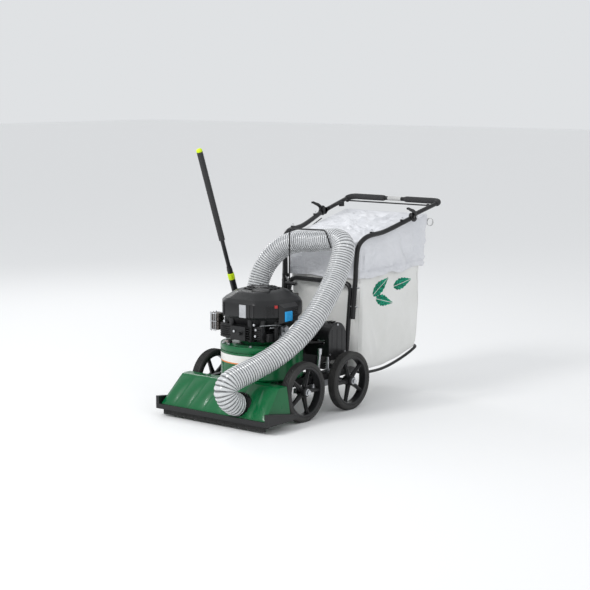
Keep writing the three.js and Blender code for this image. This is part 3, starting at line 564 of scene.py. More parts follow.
def tube(name, route, radius, finish, body, replaces=(), sides=20):
    rings = rings_along(route, lambda i, a: radius * MM, sides)
    return Solid().loft(rings).piece(name, finish, body, replaces, 60.0)


# ------------------------------------------------------------------ hose
HOSE_ROUTE = [
    (150, -763, 122), (150, -786, 130), (145, -820, 156), (138, -836, 198), (143, -820, 233),
              (156, -778, 256),
    (178, -716, 279), (210, -630, 315), (248, -545, 363), (280, -450, 430), (299, -345, 516),
              (295, -240, 608),
    (286, -150, 701), (279, -90, 788), (262, -50, 851), (212, -25, 878), (140, -18, 876), (50, -15, 864),
    (-40, -15, 856), (-130, -22, 834), (-200, -36, 790), (-246, -56, 730), (-270, -80, 664),
              (-280, -100, 596),
    (-283, -108, 560), (-283, -108, 521),
]
HOSE_RADIUS = 0.0585
HOSE_PITCH = 0.0135
RIB_DEPTH = 0.0035


def make_hose():
    """A corrugated tube with a single helical ridge. A mesh attribute is 1 in the valleys between the ridges,
    which the hose's material darkens with painted shade.
    """
    rings_per_pitch = 6
    route, length = evenly(smooth_route(HOSE_ROUTE), HOSE_PITCH / rings_per_pitch)
    sides = 36

    def crest(i, angle):
        return 0.5 + 0.5 * math.cos(2 * math.pi * i / rings_per_pitch - angle)

    def radius_at(i, angle):
        return HOSE_RADIUS - RIB_DEPTH * (1 - crest(i, angle)) ** 1.5

    rings = rings_along(route, radius_at, sides)
    hose = Solid().loft(rings).piece("hose_corrugated", "hose_plastic", "frame", ["hose"], 180.0)
    # mask for the painted shade: 1 in the valleys, fading to 0 up the crests
    valley_shade_mask = hose.data.attributes.new("valley_shade_mask", "FLOAT", "POINT")
    angles = [2 * math.pi * j / sides for j in range(sides)]
    painted_valley_shade = [max(0.0, min(1.0, 1.15 - 2.6 * crest(i, a))) for i in range(len(route)) for a in angles]
    valley_shade_mask.data.foreach_set("value", painted_valley_shade)


# ------------------------------------------------------------------ wheels
WHEEL_R = 152.5
WHEELS = [
    ("front_left", 1, "wheel_front_left", 21.0),
    ("front_right", -1, "wheel_front_right", 50.0),
    ("rear_left", 1, "rear_axle", -20.0),
    ("rear_right", -1, "rear_axle", 5.0),
]


def make_tyre(place, body, centre):
    half = 26.0
    grooves = [(-13.5, 2.2), (-4.5, 2.6), (4.5, 2.6), (13.5, 2.2)]
    tread = []
    for middle, width in grooves:
        tread += [(WHEEL_R, middle - width), (WHEEL_R - 3.0, middle - width + 0.7),
                  (WHEEL_R - 3.0, middle + width - 0.7), (WHEEL_R, middle + width)]
    profile = [(127.6, -half + 4), (132.0, -half + 1), (140.0, -half), (147.0, -half + 1.5),
               (151.0, -half + 5),
               *tread, (151.0, half - 5), (147.0, half - 1.5), (140.0, half), (132.0, half - 1),
               (127.6, half - 4)]
    outline = [(r * MM, s * MM) for r, s in profile]
    solid = Solid().turned(outline, centre, (1, 0, 0), 96)
    lug_count = 48
    for shoulder in (-1, 1):
        for i in range(lug_count):
            angle = 2 * math.pi * i / lug_count
            out = Vector((0, math.sin(angle), math.cos(angle)))
            along = Vector((0, math.cos(angle), -math.sin(angle)))
            low, high = sorted((shoulder * 17.5 * MM, shoulder * 25.4 * MM))
            corners = []
            for x in (low, high):
                top = (WHEEL_R if abs(x) < 20 * MM else WHEEL_R - 6.5) * MM
                for step in (-4.2 * MM, 4.2 * MM):
                    corners += [centre + Vector((x, 0, 0)) + along * step + out * r for r in (top, 0.140)]
            solid.hull(corners)
    solid.piece("tyre_tread_" + place, "tyre_rubber", body, ["tyre_" + place], 30.0)


def make_spoked_wheel(place, body, centre, first_spoke):
    ring = [(116.0, -20.5), (119.0, -22.0), (127.3, -22.0), (127.3, 22.0), (119.0, 22.0), (116.0, 20.5),
            (114.5, 8.0), (114.5, -8.0)]
    hub = [(9.6, -29.0), (20.0, -29.0), (24.0, -25.0), (26.0, -12.0), (26.0, 12.0), (24.0, 25.0),
           (20.0, 29.0),
           (9.6, 29.0)]
    solid = Solid()
    for profile, segments in ((ring, 72), (hub, 32)):
        solid.turned([(r * MM, s * MM) for r, s in profile], centre, (1, 0, 0), segments)
    for i in range(5):
        angle = math.radians(first_spoke + 72.0 * i)
        out = Vector((0, math.sin(angle), math.cos(angle)))
        along = Vector((0, math.cos(angle), -math.sin(angle)))
        web = [(22.0, 13.5, 8.0), (60.0, 9.5, 7.0), (100.0, 8.5, 6.5), (117.0, 12.0, 8.0)]
        for scale, depth in ((1.0, 1.0), (0.42, 1.7)):
            rings = []
            for r, half, thick in web:
                w = half * scale * MM
                x = thick * depth * MM
                middle = centre + out * r * MM
                rings.append([middle + along * a * w + Vector((b * x, 0, 0))
                              for a, b in ((-1, -1), (1, -1), (1, 1), (-1, 1))])
            solid.loft(rings)
    wheel = solid.piece("wheel_spoked_" + place, "black_plastic", body, ["wheel_" + place], 30.0)
    soften(wheel, 0.0012)


def make_hub_nut(place, side, body, centre):
    """A domed push cap and washer over the axle's end."""
    cap = [(0.5, 41.8), (5.0, 41.4), (9.0, 39.0), (10.5, 35.0), (10.5, 31.5), (17.0, 31.0), (17.0, 29.4),
           (0.5, 29.4)]
    outline = [(r * MM, side * s * MM) for r, s in cap]
    Solid().turned(outline, centre, (1, 0, 0), 28).piece("hub_cap_" + place, "steel", body, (), 30.0)


def make_wheels():
    for place, side, body, first_spoke in WHEELS:
        low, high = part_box("tyre_" + place)
        centre = (Vector(low) + Vector(high)) / 2
        make_tyre(place, body, centre)
        make_spoked_wheel(place, body, centre, first_spoke)
        make_hub_nut(place, side, body, centre)


# ------------------------------------------------------------------ tubes of the frame and handle
LOWER_TUBE = [(234, 71, 455), (235, 80, 560), (237, 88, 660), (241, 90, 760), (251, 97, 842),
              (264, 142, 882),
              (277, 288, 903), (304, 480, 957)]
PIVOT = (513, 970)
CROSSBAR = (778, 1036)


def make_tubes():
    hoop = bent_route(mirrored([(207, 45, 197), (207, 90, 640)]), 52)
    tube("hoop_tube", hoop, 12.5, "black_paint", "frame", ["frame_hoop"])
    for place, side in (("left", 1), ("right", -1)):
        route = smooth_route([(side * x, y, z) for x, y, z in LOWER_TUBE])
        made = Solid().loft(rings_along(route, lambda i, a: 0.013, 20))
        x0, x1 = sorted((side * 0.3003, side * 0.308))
        pivot_y, pivot_z = PIVOT[0] * MM, PIVOT[1] * MM
        made.turned([(0.0004, x0), (0.020, x0), (0.020, x1), (0.0004, x1)], (0, pivot_y, pivot_z),
                    (1, 0, 0), 32)
        made.hull([(x, y, z) for x in (x0, x1) for y, z in
                   ((0.474, 0.945), (0.474, 0.967), (pivot_y, pivot_z - 0.017), (pivot_y, pivot_z + 0.017))])
        made.piece("lower_tube_" + place, "black_paint", "frame", ["lower_handle_" + place], 50.0)
    run = bent_route(mirrored([(296, 545, 980), (311, *CROSSBAR)]), 48)
    made = Solid().loft(rings_along(run, lambda i, a: 0.0115, 20))
    for side in (-1, 1):
        x0, x1 = sorted((side * 0.292, side * 0.2997))
        made.turned([(0.0004, x0), (0.020, x0), (0.020, x1), (0.0004, x1)],
                    (0, PIVOT[0] * MM, PIVOT[1] * MM), (1, 0, 0), 32)
        made.hull([(x, y, z) for x in (x0, x1) for y, z in
                   ((0.549, 0.971), (0.549, 0.990), (PIVOT[0] * MM, 0.953), (PIVOT[0] * MM, 0.987))])
        made.rod((side * 0.281, 0.700, 1.0165), (side * 0.300, 0.700, 1.0165), 0.004)
    made.hull([(x, y, z) for x in (-0.2935, -0.2772) for y in (0.640, 0.670) for z in (0.986, 1.012)])
    made.rod((-0.2780, 0.655, 1.004), (-0.2712, 0.655, 1.004), 0.0029)
    made.piece("upper_tube", "black_paint", "upper_handle", ["upper_handle"], 50.0)
    support = [(218, 101, 172), (242, 150, 157), (250, 212, 155), (250, 332, 158), (250, 476, 184),
               (250, 600, 220), (238, 648, 234), (190, 658, 237)]
    tube("bag_tray_tube", smooth_route(mirrored(support)), 8.0, "black_paint", "frame", ["bag_support"], 14)


def make_cam_levers():
    """The handle's cam knobs: a scalloped disc, a dished face, a bolt and the hooked lever."""
    for place, side in (("left", 1), ("right", -1)):
        solid = Solid()
        profile = [(0.0004, 0.3084), (0.0265, 0.3084), (0.0279, 0.3100), (0.0279, 0.3165), (0.0260, 0.3182),
                   (0.0150, 0.3182), (0.0130, 0.3200), (0.0120, 0.3290), (0.0100, 0.3310), (0.0004, 0.3310)]
        solid.turned([(r, side * x) for r, x in profile], (0, PIVOT[0] * MM, PIVOT[1] * MM), (1, 0, 0), 40)
        spine = [(505, 958), (512, 976), (505, 992), (486, 1004), (462, 1011), (442, 1019), (430, 1019)]
        rings = []
        for i, (y, z) in enumerate(spine):
            ahead = spine[min(i + 1, len(spine) - 1)]
            behind = spine[max(i - 1, 0)]
            run = Vector((0, ahead[0] - behind[0], ahead[1] - behind[1])).normalized()
            across = Vector((0, -run.z, run.y)) * (12.5 - 1.2 * i)
            thick = 6.4 - 0.35 * i
            middle = Vector((side * 325.0, y, z))
            rings.append([(middle + across * a + Vector((thick * b, 0, 0))) * MM
                          for a, b in ((-1, -0.6), (-0.6, -1), (0.6, -1), (1, -0.6), (1, 0.6), (0.6, 1),
                                       (-0.6, 1), (-1, 0.6))])
        solid.loft(rings)
        made = solid.piece("cam_knob_" + place, "black_plastic", "cam_lever_" + place,
                           ["cam_lever_" + place], 40.0)
        soften(made, 0.0008)
        bolt = Solid().rod((side * 0.3305, 0.513, 0.970), (side * 0.3338, 0.513, 0.970), 0.0072, 24)
        bolt.piece("cam_bolt_" + place, "steel", "cam_lever_" + place, (), 40.0)


WIRE_LOOP = [(-219, 68, 650), (-150, 0, 642), (-62, -95, 660), (-60, -95, 928), (178, -95, 934),
             (216, -95, 843)]


def make_wires():
    loop = Solid().loft(rings_along(bent_route(WIRE_LOOP, 20), lambda i, a: 0.004, 12))
    loop.turned([(0.0135, 0.641), (0.0185, 0.641), (0.0185, 0.659), (0.0135, 0.659)], (-0.2365, 0.0873, 0),
                (0, 0, 1), 28)
    loop.box((-0.222, 0.064, 0.643), (-0.210, 0.090, 0.657))
    loop.piece("hose_loop", "black_paint", "frame", ["hose_hook"], 40.0)
    bail = bent_route(mirrored([(277, 700, 1016.5), (277, 768, 1010)]), 22)
    made = Solid().loft(rings_along(bail, lambda i, a: 0.004, 12))
    for side in (-1, 1):
        x0, x1 = sorted((side * 0.272, side * 0.282))
        made.turned([(0.0044, x0), (0.009, x0), (0.009, x1), (0.0044, x1)], (0, 0.700, 1.0165), (1, 0, 0),
                    24)
    made.piece("bail_wire", "black_paint", "drive_bail", ["drive_bail"], 40.0)
    cable = [(-286, 470, 930), (-264, 288, 874), (-256, 165, 850), (-258, 112, 806), (-259, 96, 750),
             (-256, 90, 690),
             (-255, 84, 600), (-257, 77, 510), (-257, 70, 450), (-240, 62, 400), (-230, 56, 350),
             (-226, 42, 250),
             (-224, 38, 197)]
    tube("cable_sleeve", smooth_route(cable), 3.0, "rubber", "frame", ["drive_cable"], 12)


# ------------------------------------------------------------------ nozzle hood
HOOD_SECTION = [(-783, 42), (-783, 62), (-655, 196), (-640, 205), (-592, 205), (-592, 42)]
HOOD_HALF_WIDTH = 348
HOOD_LEAN = 0.16
HOOD_LOW = 42
FLUTE_WIDTH = 97


def hood_half(z):
    return HOOD_HALF_WIDTH - HOOD_LEAN * (z - HOOD_LOW)


def flute_at(x, lean):
    """The height share of the slope's pressed flutes: round crowns with narrow valleys between them."""
    phase = math.pi * (x + lean) / FLUTE_WIDTH
    return abs(math.cos(phase)) ** 0.7


def hood_skin_points(columns, offset):
    """Rows from the front lip over the slope to the back edge, with the pleats pressed in."""
    slope_rows = 22
    y0, z0 = HOOD_SECTION[1]
    y1, z1 = HOOD_SECTION[2]
    slope = Vector((0, y1 - y0, z1 - z0)).normalized()
    out = Vector((0, -slope.z, slope.y))
    rows = [((-783 - offset), 44, 0.0, 0), ((-783 - offset), 60, 0.2, 0)]
    for i in range(1, slope_rows):
        t = i / slope_rows
        rows.append((y0 + (y1 - y0) * t, z0 + (z1 - z0) * t, math.sin(math.pi * t) ** 0.6, 1))
    for angle in (25, 50, 75):
        a = math.radians(angle)
        rows.append((-640 - 15 * math.cos(a), 190 + 15 * math.sin(a), 0.3 - angle / 500, 2))
    for y in (-632, -618, -604, -590):
        rows.append((y, 205, 0.08, 3))
    grid = []
    for y, z, press, kind in rows:
        line = []
        for j in range(columns + 1):
            u = -1 + 2 * j / columns
            swell = 1.6 * noise.noise(Vector((u * 2.6, y * 0.012, 3.0)))
            x = u * (hood_half(z) + offset)
            lean = 0.22 * (z - 130) * (1 if x > 0 else -1)
            edge = min(1.0, (1 - abs(u)) / 0.05)
            lift = max(0.8, offset + edge * press * (swell + 11.0 * flute_at(x, lean)))
            ridge = 3.0 * noise.noise(Vector((u * 3.4, 7.0, 0.0))) if kind == 3 else 0.0
            if kind == 1:
                line.append(Vector((x, y, z)) + out * lift)
            elif kind == 0:
                line.append(Vector((x, y, z)))
            else:
                line.append(Vector((x, y, z + lift + max(ridge, 0.0))))
        grid.append(line)
    return grid


def make_hood():
    columns = 96
    outer = hood_skin_points(columns, 1.4)
    vertices = []
    faces = []
    width = columns + 1
    for line in outer:
        vertices += [p * MM for p in line]
    for i in range(len(outer) - 1):
        for j in range(columns):
            faces.append((i * width + j, i * width + j + 1, (i + 1) * width + j + 1, (i + 1) * width + j))
    for column in (0, columns):
        start = len(vertices)
        side = 1 if column else -1
        edge = [line[column] for line in outer]
        floor_line = [Vector((side * (hood_half(HOOD_LOW) + 1.4), p.y, HOOD_LOW)) for p in edge]
        steps = 6
        for k in range(steps + 1):
            t = k / steps
            for top, foot in zip(edge, floor_line):
                bulge = 1.2 * math.sin(math.pi * t)
                p = top.lerp(foot, t)
                vertices.append(Vector((p.x + side * bulge, p.y, p.z)) * MM)
        rows = len(edge)
        for k in range(steps):
            for i in range(rows - 1):
                a = start + k * rows + i
                faces.append((a, a + 1, a + 1 + rows, a + rows))
    skin = add_piece("hood_skin", vertices, faces, "green_paint", "frame", (), 50.0)
    weld = skin.modifiers.new("weld", "WELD")
    weld.merge_threshold = 0.0002
    apply_modifiers(skin)
    cut_port_hole(skin)
    skin.data.polygons.foreach_set("use_smooth", [True] * len(skin.data.polygons))
    skin.data.set_sharp_from_angle(angle=math.radians(55))


PORT_FOOT = Vector((0.150, -0.735, 0.112))
PORT_AXIS = Vector((0.0, -0.94, 0.34)).normalized()


def cut_port_hole(skin):
    """Opens the skin where the hose port passes through it."""
    mesh = bmesh.new()
    mesh.from_mesh(skin.data)
    inside = [v for v in mesh.verts if (v.co - PORT_FOOT
                                        - PORT_AXIS * (v.co - PORT_FOOT).dot(PORT_AXIS)).length < 0.060
              and v.co.y < -0.70]
    bmesh.ops.delete(mesh, geom=inside, context="VERTS")
    mesh.to_mesh(skin.data)
    mesh.free()


def make_port_ring():
    """The rubber cuff and the band clamp where the hose meets the hood."""
    profile = [(0.0535, 0.0), (0.0668, 0.0), (0.0668, 0.004), (0.0652, 0.006), (0.0652, 0.009),
               (0.0668, 0.011),
               (0.0668, 0.0135), (0.0612, 0.0150), (0.0612, 0.0258), (0.0535, 0.0258)]
    ring = Solid().turned(profile, PORT_FOOT, PORT_AXIS, 64)
    ring.piece("port_cuff", "black_plastic", "frame", ["hose_port"], 30.0)


def make_rubber_flap():
    """The rubber strip under the bumper, cut into flexible fingers."""
    solid = Solid()
    fingers = 26
    pitch = 0.676 / fingers
    solid.box((-0.338, -0.7768, 0.046), (0.338, -0.7712, 0.060))
    for i in range(fingers):
        x = -0.338 + pitch * i
        sway = 0.0006 * math.sin(i * 2.4)
        solid.hull([(x + dx, y + (sway if z < 0.02 else 0), z) for dx in (0.0004, pitch - 0.0004)
                    for y in (-0.7762, -0.7718) for z in (0.0104, 0.048)])
    solid.piece("rubber_fingers", "rubber", "frame", ["rubber_skirt"], 30.0)


# ------------------------------------------------------------------ bag
BAG_BOTTOM = [(126, 169), (212, 167), (332, 170), (476, 196), (648, 246)]
SHOULDER = 690
HEM = 672
COVER_LEVELS = 34
COVER_TURNED = 11
COVER_FRONT = 112
COVER_RUN = 590
COVER_TOP = 858
COVER_RISE = 112
HEM_DROP = 12
HEM_RISE = 26
BAG_MIDDLE = 0.39
PATTERN_POINTS = 168


def bag_bottom_z(y):
    ys, zs = zip(*BAG_BOTTOM)
    return float(np.interp(y, ys, zs))


def rounded_outline(half_front, half_rear, front, rear, radius, count):
    """Points round a bag's cross-section, starting on the front's middle, in millimetres."""
    corners = [(half_front, front), (half_rear, rear), (-half_rear, rear), (-half_front, front)]
    line = [Vector((0, front, 0))]
    for i, (x, y) in enumerate(corners):
        before = Vector((*corners[i - 1], 0)) if i else Vector((0, front, 0))
        after = Vector((*corners[(i + 1) % 4], 0)) if i < 3 else Vector((0, front, 0))
        corner = Vector((x, y, 0))
        a = corner + (before - corner).normalized() * radius
        b = corner + (after - corner).normalized() * radius
        for k in range(9):
            t = k / 8
            line.append(a * (1 - t) ** 2 + corner * 2 * t * (1 - t) + b * t ** 2)
    line.append(line[0].copy())
    points = np.array([tuple(p) for p in line])
    gaps = np.linalg.norm(np.diff(points, axis=0), axis=1)
    along = np.concatenate([[0.0], np.cumsum(gaps)])
    places = np.linspace(0, along[-1], count, endpoint=False)
    return [Vector((np.interp(s, along, points[:, 0]), np.interp(s, along, points[:, 1]),
                    0)) for s in places]


def cloth_fold(p, seed, size, depth, stretch=0.5):
    """A crumple height: warped ridges at three sizes, longest in height. p is in millimetres."""
    q = Vector((p.x, p.y, p.z * stretch)) / size
    warp = noise.noise_vector(q * 0.6 + Vector((seed, 0, 0)))
    total = 0.0
    for octave, share in ((1.0, 0.6), (2.1, 0.28), (4.3, 0.12)):
        ridge = 1 - 2.4 * abs(noise.noise((q + warp * 0.9) * octave + Vector((0, seed, seed))))
        total += share * ridge
    return depth * total


def girth(outline):
    """The length round a closed outline, in metres."""
    return sum((b - a).length for a, b in zip(outline, [*outline[1:], outline[0]])) * MM


def enclosed(outline):
    """The area inside a level outline, in square metres."""
    pairs = zip(outline, [*outline[1:], outline[0]])
    return abs(sum(a.x * b.y - b.x * a.y for a, b in pairs)) / 2 * MM * MM


def cut_pattern(low, high, wall_height, end, slope=1.0, hem=0.0):
    """The flat size and area of a wall strip, its turned hem and one end panel, before any folds."""
    around = (girth(low) + girth(high)) / 2
    panel = enclosed(end) * slope
    depth = (max(p.y for p in end) - min(p.y for p in end)) * MM * slope
    strip = wall_height + hem
    return (around, strip + depth), around * strip + panel


def make_bag_body():
    """The felt bag: pleated walls hanging from the shoulder seam to a rounded bottom."""
    count = PATTERN_POINTS
    levels = 40
    rings = []
    for i in range(levels + 1):
        t = i / levels
        ring = []
        base = rounded_outline(222 + 14 * t, 248 + 10 * t, 128 - 10 * t, 646 + 22 * t, 34, count)
        for p in base:
            low = bag_bottom_z(p.y)
            z = low + (SHOULDER - low) * t
            middle = Vector((0, 390, z))
            out = Vector((p.x - middle.x, (p.y - middle.y) * 0.8, 0)).normalized()
            slack = math.sin(math.pi * min(1.0, t * 1.15)) ** 0.7
            fold = (cloth_fold(Vector((p.x, p.y, z)), 2.0, 120.0, 12.0, 0.3) - 5.0) * (0.3 + 0.7 * slack)
            bulge = 6.0 * slack
            if p.y < 150:
                bulge, fold = -2.0, min(fold, 0.0) * 0.4
            q = Vector((p.x, p.y, z)) + out * (fold + bulge - 3.0)
            ring.append(q * MM)
        rings.append(ring)
    bottom = []
    for scale in (0.9, 0.5, 0.12):
        ring = []
        for p in rings[0]:
            x = p.x * scale
            y = BAG_MIDDLE + (p.y - BAG_MIDDLE) * scale
            sag = -0.004 * math.sin(math.pi * (1 - scale))
            ring.append(Vector((x, y, bag_bottom_z(y / MM) * MM + sag + 0.001)))
        bottom.append(ring)
    shell = Solid().loft([*reversed(bottom), *rings], caps=False)
    shell.faces.append(tuple(range(count)))
    bag = shell.piece("bag_felt", "white_felt", "frame", ["bag_body"], 70.0)
    return bag


def cover_share(y):
    """How far back on the cover a place is: 0 at its front edge, 1 at its rear edge."""
    return (y - COVER_FRONT) / COVER_RUN


def skirt_outline(t, count):
    """The top cover's outline at height share t: 0 at the hem, 1 at the top edge."""
    half_front = 243 - 5 * t
    half_rear = 268 + 18 * t
    return rounded_outline(half_front, half_rear, 111 + 2 * t, 681 + 21 * t, 30, count)


def make_bag_skirt():
    """The loose woven cover of the bag's upper part, with crumpled walls, a sagging hem and a slanted top."""
    count = 220
    levels = COVER_LEVELS
    rings = []
    for i in range(levels + 1):
        t = i / levels
        ring = []
        for p in skirt_outline(t, count):
            share = cover_share(p.y)
            top = COVER_TOP + COVER_RISE * share
            hem = HEM - HEM_DROP + HEM_RISE * share + 13 * noise.noise(Vector((p.x * 0.012, p.y * 0.012,
                                                                               1.0)))
            z = hem + (top - hem) * t
            out = Vector((p.x, (p.y - 390) * 0.8, 0)).normalized()
            loose = (1 - t) ** 0.8 * 0.75 + 0.35 * math.sin(math.pi * t)
            slanted = Vector((p.x, p.y + 0.7 * z, z - 0.35 * p.y))
            fold = (cloth_fold(slanted, 5.0, 105.0, 25.0, 1.1) - 8.0) * loose
            if p.y < 150:
                fold = min(fold, 2.0) * 0.35
            flare = 3.0 * (1 - t)
            ring.append((Vector((p.x, p.y, z)) + out * (fold + flare)) * MM)
        rings.append(ring)
    roof = []
    for inset in (0.985, *np.linspace(0.955, 0.02, 26)):
        ring = []
        for p in rings[-1]:
            x = p.x * inset
            y = 0.407 + (p.y - 0.407) * inset
            share = (y - 0.112) / 0.590
            crumple = (cloth_fold(Vector((x, y, 0.4)) / MM, 11.0, 105.0, 20.0) - 4.0) * (1 - inset ** 6)
            ring.append(Vector((x, y, (858 + 112 * share + crumple + 3 * (1 - inset)) * MM)))
        roof.append(ring)
    rings += roof
    inner = []
    for ring in rings[:COVER_TURNED + 1]:
        inner.append([Vector((p.x * 0.985, BAG_MIDDLE + (p.y - BAG_MIDDLE) * 0.985, p.z)) for p in ring])
    skirt = Solid()
    skirt.loft([*reversed(inner), *rings], caps=False)
    last = len(skirt.vertices) - count
    skirt.faces.append(tuple(range(last, last + count)))
    cover = skirt.piece("bag_cover", "grey_shell", "frame", ["bag_skirt"], 75.0)
    return cover


def follow(surface, points, lift):
    """Points moved inwards on to a surface's outside, along the way to the bag's middle."""
    tree = BVHTree.FromObject(surface, bpy.context.evaluated_depsgraph_get())
    out = []
    for p in points:
        inward = (Vector((0, BAG_MIDDLE, p.z)) - p).normalized()
        hit = tree.ray_cast(p - inward * 0.06, inward)[0]
        if hit is not None:
            out.append(hit - inward * lift)
    return out


def sewn_line(solid, surface, points, radius):
    """A round thread or cord laid along a surface."""
    line = follow(surface, points, 0.0006)
    solid.loft(rings_along(line, lambda i, angle: radius, 6))


def make_piping(felt_bag):
    """Piping down the felt bag's four corners."""
    solid = Solid()
    for side in (-1, 1):
        for y, low, spread in ((0.128, 0.180, 1.0), (0.648, 0.262, 1.11)):
            corner = []
            for i in range(41):
                t = i / 40
                corner.append(Vector((side * (0.226 + 0.016 * t) * spread, y, low + (0.655 - low) * t)))
            sewn_line(solid, felt_bag, corner, 0.0024)
    return solid.piece("bag_piping", "white_felt", "frame", (), 70.0)


def make_stitching(cover):
    """Two rows of stitching above the cover's hem."""
    solid = Solid()
    for rise in (0, 7):
        row = [Vector((p.x, p.y, 692 + rise + HEM_RISE * (p.y - COVER_FRONT) / COVER_RUN)) * MM
               for p in skirt_outline(0.1, 160)]
        sewn_line(solid, cover, row, 0.0011)
    return solid.piece("cover_stitching", "grey_shell", "frame", (), 70.0)


def make_straps(cover):
    """A webbing loop sewn to each of the cover's rear corners."""
    straps = Solid()
    for side in (-1, 1):
        foot = follow(cover, [Vector((side * 0.283, 0.706, 0.925))], 0.0)[0]
        outward = Vector((foot.x, foot.y - BAG_MIDDLE, 0)).normalized()
        wide = outward.cross(UP) * 0.010
        rings = []
        for i in range(33):
            angle = 2 * math.pi * i / 32
            middle = foot + outward * 0.017 * (1 - math.cos(angle)) + UP * 0.021 * math.sin(angle)
            thin = (outward * -math.cos(angle) + UP * math.sin(angle)) * 0.0009
            rings.append([middle - wide - thin, middle + wide - thin, middle + wide + thin,
                          middle - wide + thin])
        straps.loft(rings)
    return straps.piece("cover_straps", "grey_tag", "frame", (), 50.0)


def declare_bag_cloth():
    """Works out what each cloth was cut to, from its smooth outlines before any folds; the sizes and areas
    are not kept.
    """
    count = PATTERN_POINTS
    mouth = rounded_outline(236, 258, 118, 668, 34, count)
    floor = rounded_outline(222, 248, 128, 646, 34, count)
    height = sum(SHOULDER - bag_bottom_z(p.y) for p in floor) / count * MM
    flat, area = cut_pattern(floor, mouth, height, floor)

    hem = skirt_outline(0, count)
    top = skirt_outline(1, count)
    shares = [cover_share(p.y) for p in hem]
    heights = [(COVER_TOP + COVER_RISE * u) - (HEM - HEM_DROP + HEM_RISE * u) for u in shares]
    height = sum(heights) / count * MM
    turned = height * COVER_TURNED / COVER_LEVELS
    flat, area = cut_pattern(hem, top, height, top, math.hypot(1.0, COVER_RISE / COVER_RUN), turned)


def make_bag():
    felt_bag = make_bag_body()
    cover = make_bag_skirt()
    on_bag = [make_leaf_print(felt_bag), make_piping(felt_bag)]
    on_cover = [make_stitching(cover), make_straps(cover)]
    declare_bag_cloth()


def leaf_outline(length, width, count=26):
    """A pointed leaf along +X with lightly notched edges."""
    points = []
    for side in (1, -1):
        for i in range(count):
            t = i / (count - 1) if side == 1 else 1 - i / (count - 1)
            notch = 1 + 0.10 * math.sin(t * 42)
            points.append((length * t, side * width * notch * math.sin(math.pi * t ** 0.8) * (1 - 0.35 * t)))
    return points


LEAVES = [((0.235, 0.560), 30.0, 0.175, 0.038), ((0.262, 0.543), -14.0, 0.165, 0.035),
          ((0.425, 0.590), 10.0, 0.165, 0.036)]


def make_leaf_print(bag):
    """Three generic leaves printed on the bag's left wall, laid on its surface."""
    bag_tree = BVHTree.FromObject(bag, bpy.context.evaluated_depsgraph_get())
    solid = Solid()
    for (y0, z0), degrees, length, width in LEAVES:
        turn = math.radians(degrees)

        def on_bag(u, v):
            y = y0 + u * math.cos(turn) - v * math.sin(turn)
            z = z0 + u * math.sin(turn) + v * math.cos(turn)
            hit = bag_tree.ray_cast(Vector((0.5, y, z)), Vector((-1, 0, 0)))[0]
            return hit + Vector((0.0006, 0, 0))

        edge = leaf_outline(length, width)
        half = len(edge) // 2
        for side in (edge[:half], [*reversed(edge[half:])]):
            gap = 0.0016 if side[5][1] > 0 else -0.0016
            for (u0, v0), (u1, v1) in zip(side, side[1:]):
                steps = 4
                for k in range(steps):
                    a, b = k / steps, (k + 1) / steps
                    quad = [(u0, gap + (v0 - gap) * a), (u1, gap + (v1 - gap) * a),
                            (u1, gap + (v1 - gap) * b), (u0, gap + (v0 - gap) * b)]
                    if abs(v0) < abs(gap) or abs(v1) < abs(gap):
                        continue
                    solid.add([on_bag(u, v) for u, v in quad], [(0, 1, 2, 3)])
    print_piece = solid.piece("leaf_print", "leaf_print", "frame", (), 180.0)
    weld = print_piece.modifiers.new("weld", "WELD")
    weld.merge_threshold = 0.0003
    apply_modifiers(print_piece)
    return print_piece


# ------------------------------------------------------------------ handle parts
def make_grips():
    """Foam sleeves that reach round the handle's corners, and the plain pale tag between them."""
    run = bent_route(mirrored([(296, 545, 980), (311, *CROSSBAR)]), 48, 16)
    route = evenly(run, 0.006)[0]
    for place, side in (("left", 1), ("right", -1)):
        part = [p for p in route if side * p.x > 0.064 and p.y > 0.730]
        ends = len(part)

        def radius_at(i, angle):
            edge = min(i, ends - 1 - i)
            return (16.6 - max(0.0, 2 - edge) * 1.5) * MM

        sleeve = Solid().loft(rings_along(part, radius_at, 24))
        grip = sleeve.piece("grip_foam_" + place, "foam", "upper_handle", ["foam_grip_" + place], 60.0)
    tag = [p for p in route if abs(p.x) < 0.048 and p.y > 0.74]
    Solid().loft(rings_along(tag, lambda i, a: 0.0123, 20)).piece("crossbar_tag", "grey_tag",
                                                                  "upper_handle", (), 60.0)


# ------------------------------------------------------------------ impeller housing
HOUSING_MIDDLE = Vector((0.0, -0.394, 0.0))


